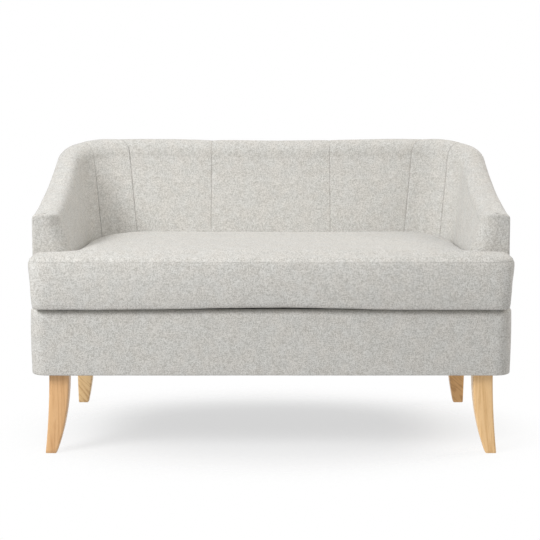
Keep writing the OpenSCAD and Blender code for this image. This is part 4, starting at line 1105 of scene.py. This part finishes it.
for vert, place in zip(cushion.data.vertices, places):
    bumpy = ripple(place, 7.0, 5.0) * BUMP_WAVE + ripple(place, 24.0, 8.0) * BUMP_CRUMPLE
    vert.co = Vector(place) + vert.normal * (bumpy if place[2] > BUMP_FROM_Z else 0)
print("swelling: most", round(float(length.max()) * 1000, 1), "mm before the cap; top at",
      round(float(places[:, 2].max()) * 1000, 1), "mm")

# %% [markdown]
# The sewn lines come last, because a simulation would smooth them away. Each seam's ring of edges is
# bevelled to three rings and the middle one is pushed in, which gives the tight little valley that a run
# stitch makes. The lower seam in front lies in the roll of the sagging edge, so it is pushed in less.

# %% Seams of the cushion
SEAM_MARK, SEAM_HALF, VALLEY, LOW_SHARE, NEAR_LINE = 2.2, 0.0026, 0.0017, 0.3, 0.0014
bm = bmesh.new()
bm.from_mesh(cushion.data)
held = bm.verts.layers.int["held"]
seam_layer = bm.verts.layers.float["seam"]
seam_edges = [e for e in bm.edges if e.verts[0][held] and e.verts[1][held]]
lines = [v.co.copy() for v in {v for e in seam_edges for v in e.verts}]
bevelled = bmesh.ops.bevel(bm, geom=seam_edges, offset=SEAM_HALF, offset_type="OFFSET", segments=2,
                           profile=0.5, affect="EDGES", material=-1)
cells = {}
for point in lines:
    cells.setdefault((round(point.x, 2), round(point.y, 2)), []).append(point)
bm.normal_update()
pushed = 0
for vert in bevelled["verts"]:
    near = [p for dx in (-0.01, 0, 0.01) for dy in (-0.01, 0, 0.01)
            for p in cells.get((round(vert.co.x + dx, 2), round(vert.co.y + dy, 2)), [])]
    if near and min((p - vert.co).length for p in near) < NEAR_LINE:
        share = LOW_SHARE if vert.co.z < 0.42 and vert.co.y < -0.30 else 1.0
        vert.co -= vert.normal * VALLEY * share
        vert[seam_layer] = SEAM_MARK * share
        pushed += 1
    else:
        vert[seam_layer] = 0.0
bm.to_mesh(cushion.data)
bm.free()
for polygon in cushion.data.polygons:
    polygon.use_smooth = True
rounder = cushion.modifiers.new("smoother cloth", "SUBSURF")
rounder.levels = rounder.render_levels = 1
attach(cushion, "seat_cushion")
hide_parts("cushion_cover", "cushion_wrap")
print("cushion", len(cushion.data.polygons), "faces,", pushed, "seam points pushed in")

# %% [markdown]
# ## Legs
# Each leg is sawn from a block to a sabre curve, tapered, and its arrises are rounded by hand. So it starts
# as a cube that is cut into slices, its slices are moved to the curve, and a bevel rounds the long edges.
# The front legs curve outwards to the sides, and the rear ones curve back.

# %% Legs
LEG_TOP, LEG_FOOT, LEG_CUTS = 0.050, 0.028, 20
LEG_GAP, FOOT_BEVEL, ARRIS_R, KICK_SLIM = 0.0002, 0.0020, 0.0050, 0.011


def leg_box(out_x, front, flare, kick, t):
    """The rectangle of a leg's slice: x from and to, y from and to."""
    high = out_x + flare * t ** 1.8
    low = out_x - LEG_TOP + (flare + LEG_TOP - LEG_FOOT) * t ** 2.2
    near = front + kick * t ** 1.8 + (KICK_SLIM * t if kick else 0)
    return low, high, near, near + mix(LEG_TOP, LEG_FOOT, t)


def leg(name, out_x, front, flare, kick, mirror, wood):
    bm = bmesh.new()
    bmesh.ops.create_cube(bm, size=1)
    tall = [e for e in bm.edges if abs(e.verts[0].co.z - e.verts[1].co.z) > 0.5]
    bmesh.ops.subdivide_edges(bm, edges=tall, cuts=LEG_CUTS, use_grid_fill=True)
    foot_edges = [e for e in bm.edges if max(v.co.z for v in e.verts) < -0.499]
    for vert in bm.verts:
        t = 0.5 - vert.co.z
        low, high, near, back = leg_box(out_x, front, flare, kick, t)
        x = high if vert.co.x > 0 else low
        z = LEG_H * (1 - t) - (LEG_GAP if t < 0.01 else 0)
        vert.co = (-x if mirror else x, back if vert.co.y > 0 else near, z)
    bmesh.ops.recalc_face_normals(bm, faces=bm.faces)
    bmesh.ops.bevel(bm, geom=foot_edges, offset=FOOT_BEVEL, offset_type="OFFSET", segments=1, profile=0.5,
                    affect="EDGES", material=-1)
    long_edges = [e for e in bm.edges if e.is_valid and len(e.link_faces) == 2
                  and abs(e.verts[0].co.z - e.verts[1].co.z) > 0.004
                  and e.link_faces[0].normal.angle(e.link_faces[1].normal, 0) > 0.9]
    bmesh.ops.bevel(bm, geom=long_edges, offset=ARRIS_R, offset_type="OFFSET", segments=4, profile=0.5,
                    affect="EDGES", material=-1)
    piece = finish_mesh(bm, name.replace("leg", "sabre_leg"), wood)
    piece.data.set_sharp_from_angle(angle=0.7)
    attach(piece, "settee")
    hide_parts(name)
    print(piece.name, len(piece.data.polygons), "faces")


for row, out_x, front, flare, kick, woods in (("front", 0.560, -0.318, 0.013, 0.0, (amber, straw)),
                                              ("rear", 0.557, 0.215, 0.0, 0.018, (figured, russet_painted_shade))):
    leg(f"{row}_left_leg", out_x, front, flare, kick, True, woods[0])
    leg(f"{row}_right_leg", out_x, front, flare, kick, False, woods[1])

# %% [markdown]
# ## The rest keeps its CAD shape
# Rails, boards, springs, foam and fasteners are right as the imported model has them, so they only get a
# finish. Each node's finish follows from the material slot that the record gives it.

# %% Finishes of the CAD nodes
finishes = {"upholstery": linen, "lining": lining, "frame_wood": pine, "board": ply, "leg_wood": amber,
            "foam": foam, "fibre": fibre, "zip_tape": zip_plastic, "zip_metal": zip_metal, "steel": steel}
slots = {part["node"]: part["material_slot"] for part in frame["record"]["subparts"]}
for node, cad_piece in frame["nodes"].items():
    finish = finishes[slots[node]]
    if not cad_piece.material_slots:
        cad_piece.data.materials.append(finish)
    for material_slot in cad_piece.material_slots:
        material_slot.material = finish
print("finished", len(slots), "nodes")

# %% [markdown]
# ## Light and floor
# The room is a bright, even studio: a wide weak light overhead, the main one at the front left and a weak
# warm one at the right. The world gives the rest, and looks plain white where a camera or a mirror sees it.
# The floor is a pale disc that fades out, so that it keeps the shadow and no horizon shows.

# %% Lights
def softbox(name, place, aim, size, power):
    lamp = bpy.data.lights.new(name, "AREA")
    lamp.shape = "RECTANGLE"
    lamp.size, lamp.size_y = size
    lamp.energy = power
    box = bpy.data.objects.new(name, lamp)
    box.location = place
    box.rotation_euler = (Vector(place) - Vector(aim)).to_track_quat("Z", "Y").to_euler()
    bpy.context.scene.collection.objects.link(box)
    return box


softbox("overhead", (-0.3, 1.3, 2.9), (0, 0, 0.3), (3.2, 2.4), 15)
softbox("front_left", (-2.6, -2.3, 2.6), (0, 0, 0.4), (1.6, 1.6), 104)
warm = softbox("side_right", (2.4, 0.5, 2.1), (0, 0, 0.4), (1.0, 1.0), 20)
warm.data.color = (1.0, 0.93, 0.84)

world = bpy.data.worlds.new("studio")
bpy.context.scene.world = world
world.use_nodes = True
tree = world.node_tree
light_path = [make(tree, "ShaderNodeLightPath", None, None, out=i) for i in (0, 3, 6)]
seen = light_path[0].math("MAXIMUM", light_path[0], light_path[1])
sky = tree.nodes["Background"]
sky.inputs["Color"].default_value = (1, 1, 1, 1)
AMBIENT = 0.56
tree.links.new((seen * (1 - AMBIENT) + AMBIENT).socket, sky.inputs["Strength"])

floor_mesh = bmesh.new()
bmesh.ops.create_circle(floor_mesh, cap_ends=True, segments=96, radius=5.0)
floor_mat, tree, shader = new_material("floor", Roughness=1.0, Specular_IOR_Level=0.0)
shader.inputs["Base Color"].default_value = (0.36, 0.36, 0.36, 1)
shader.inputs["Emission Color"].default_value = (1, 1, 1, 1)
shader.inputs["Emission Strength"].default_value = 0.615
place = make(tree, "ShaderNodeTexCoord", None, None, out=3)
x, y, _ = split(tree, place)
reach = ((x / 0.72) ** 2.0 + ((y + 0.08) / 0.50) ** 2.0) ** 0.5
shown = make(tree, "ShaderNodeMapRange", {"clamp": True, "interpolation_type": "SMOOTHSTEP"},
             {"Value": reach, "From Min": 0.45, "From Max": 1.15, "To Min": 1.0, "To Max": 0.0})
drive(tree, shader, Alpha=shown)
floor = finish_mesh(floor_mesh, "studio_floor", floor_mat)

scene = bpy.context.scene
scene.view_settings.view_transform = "Standard"
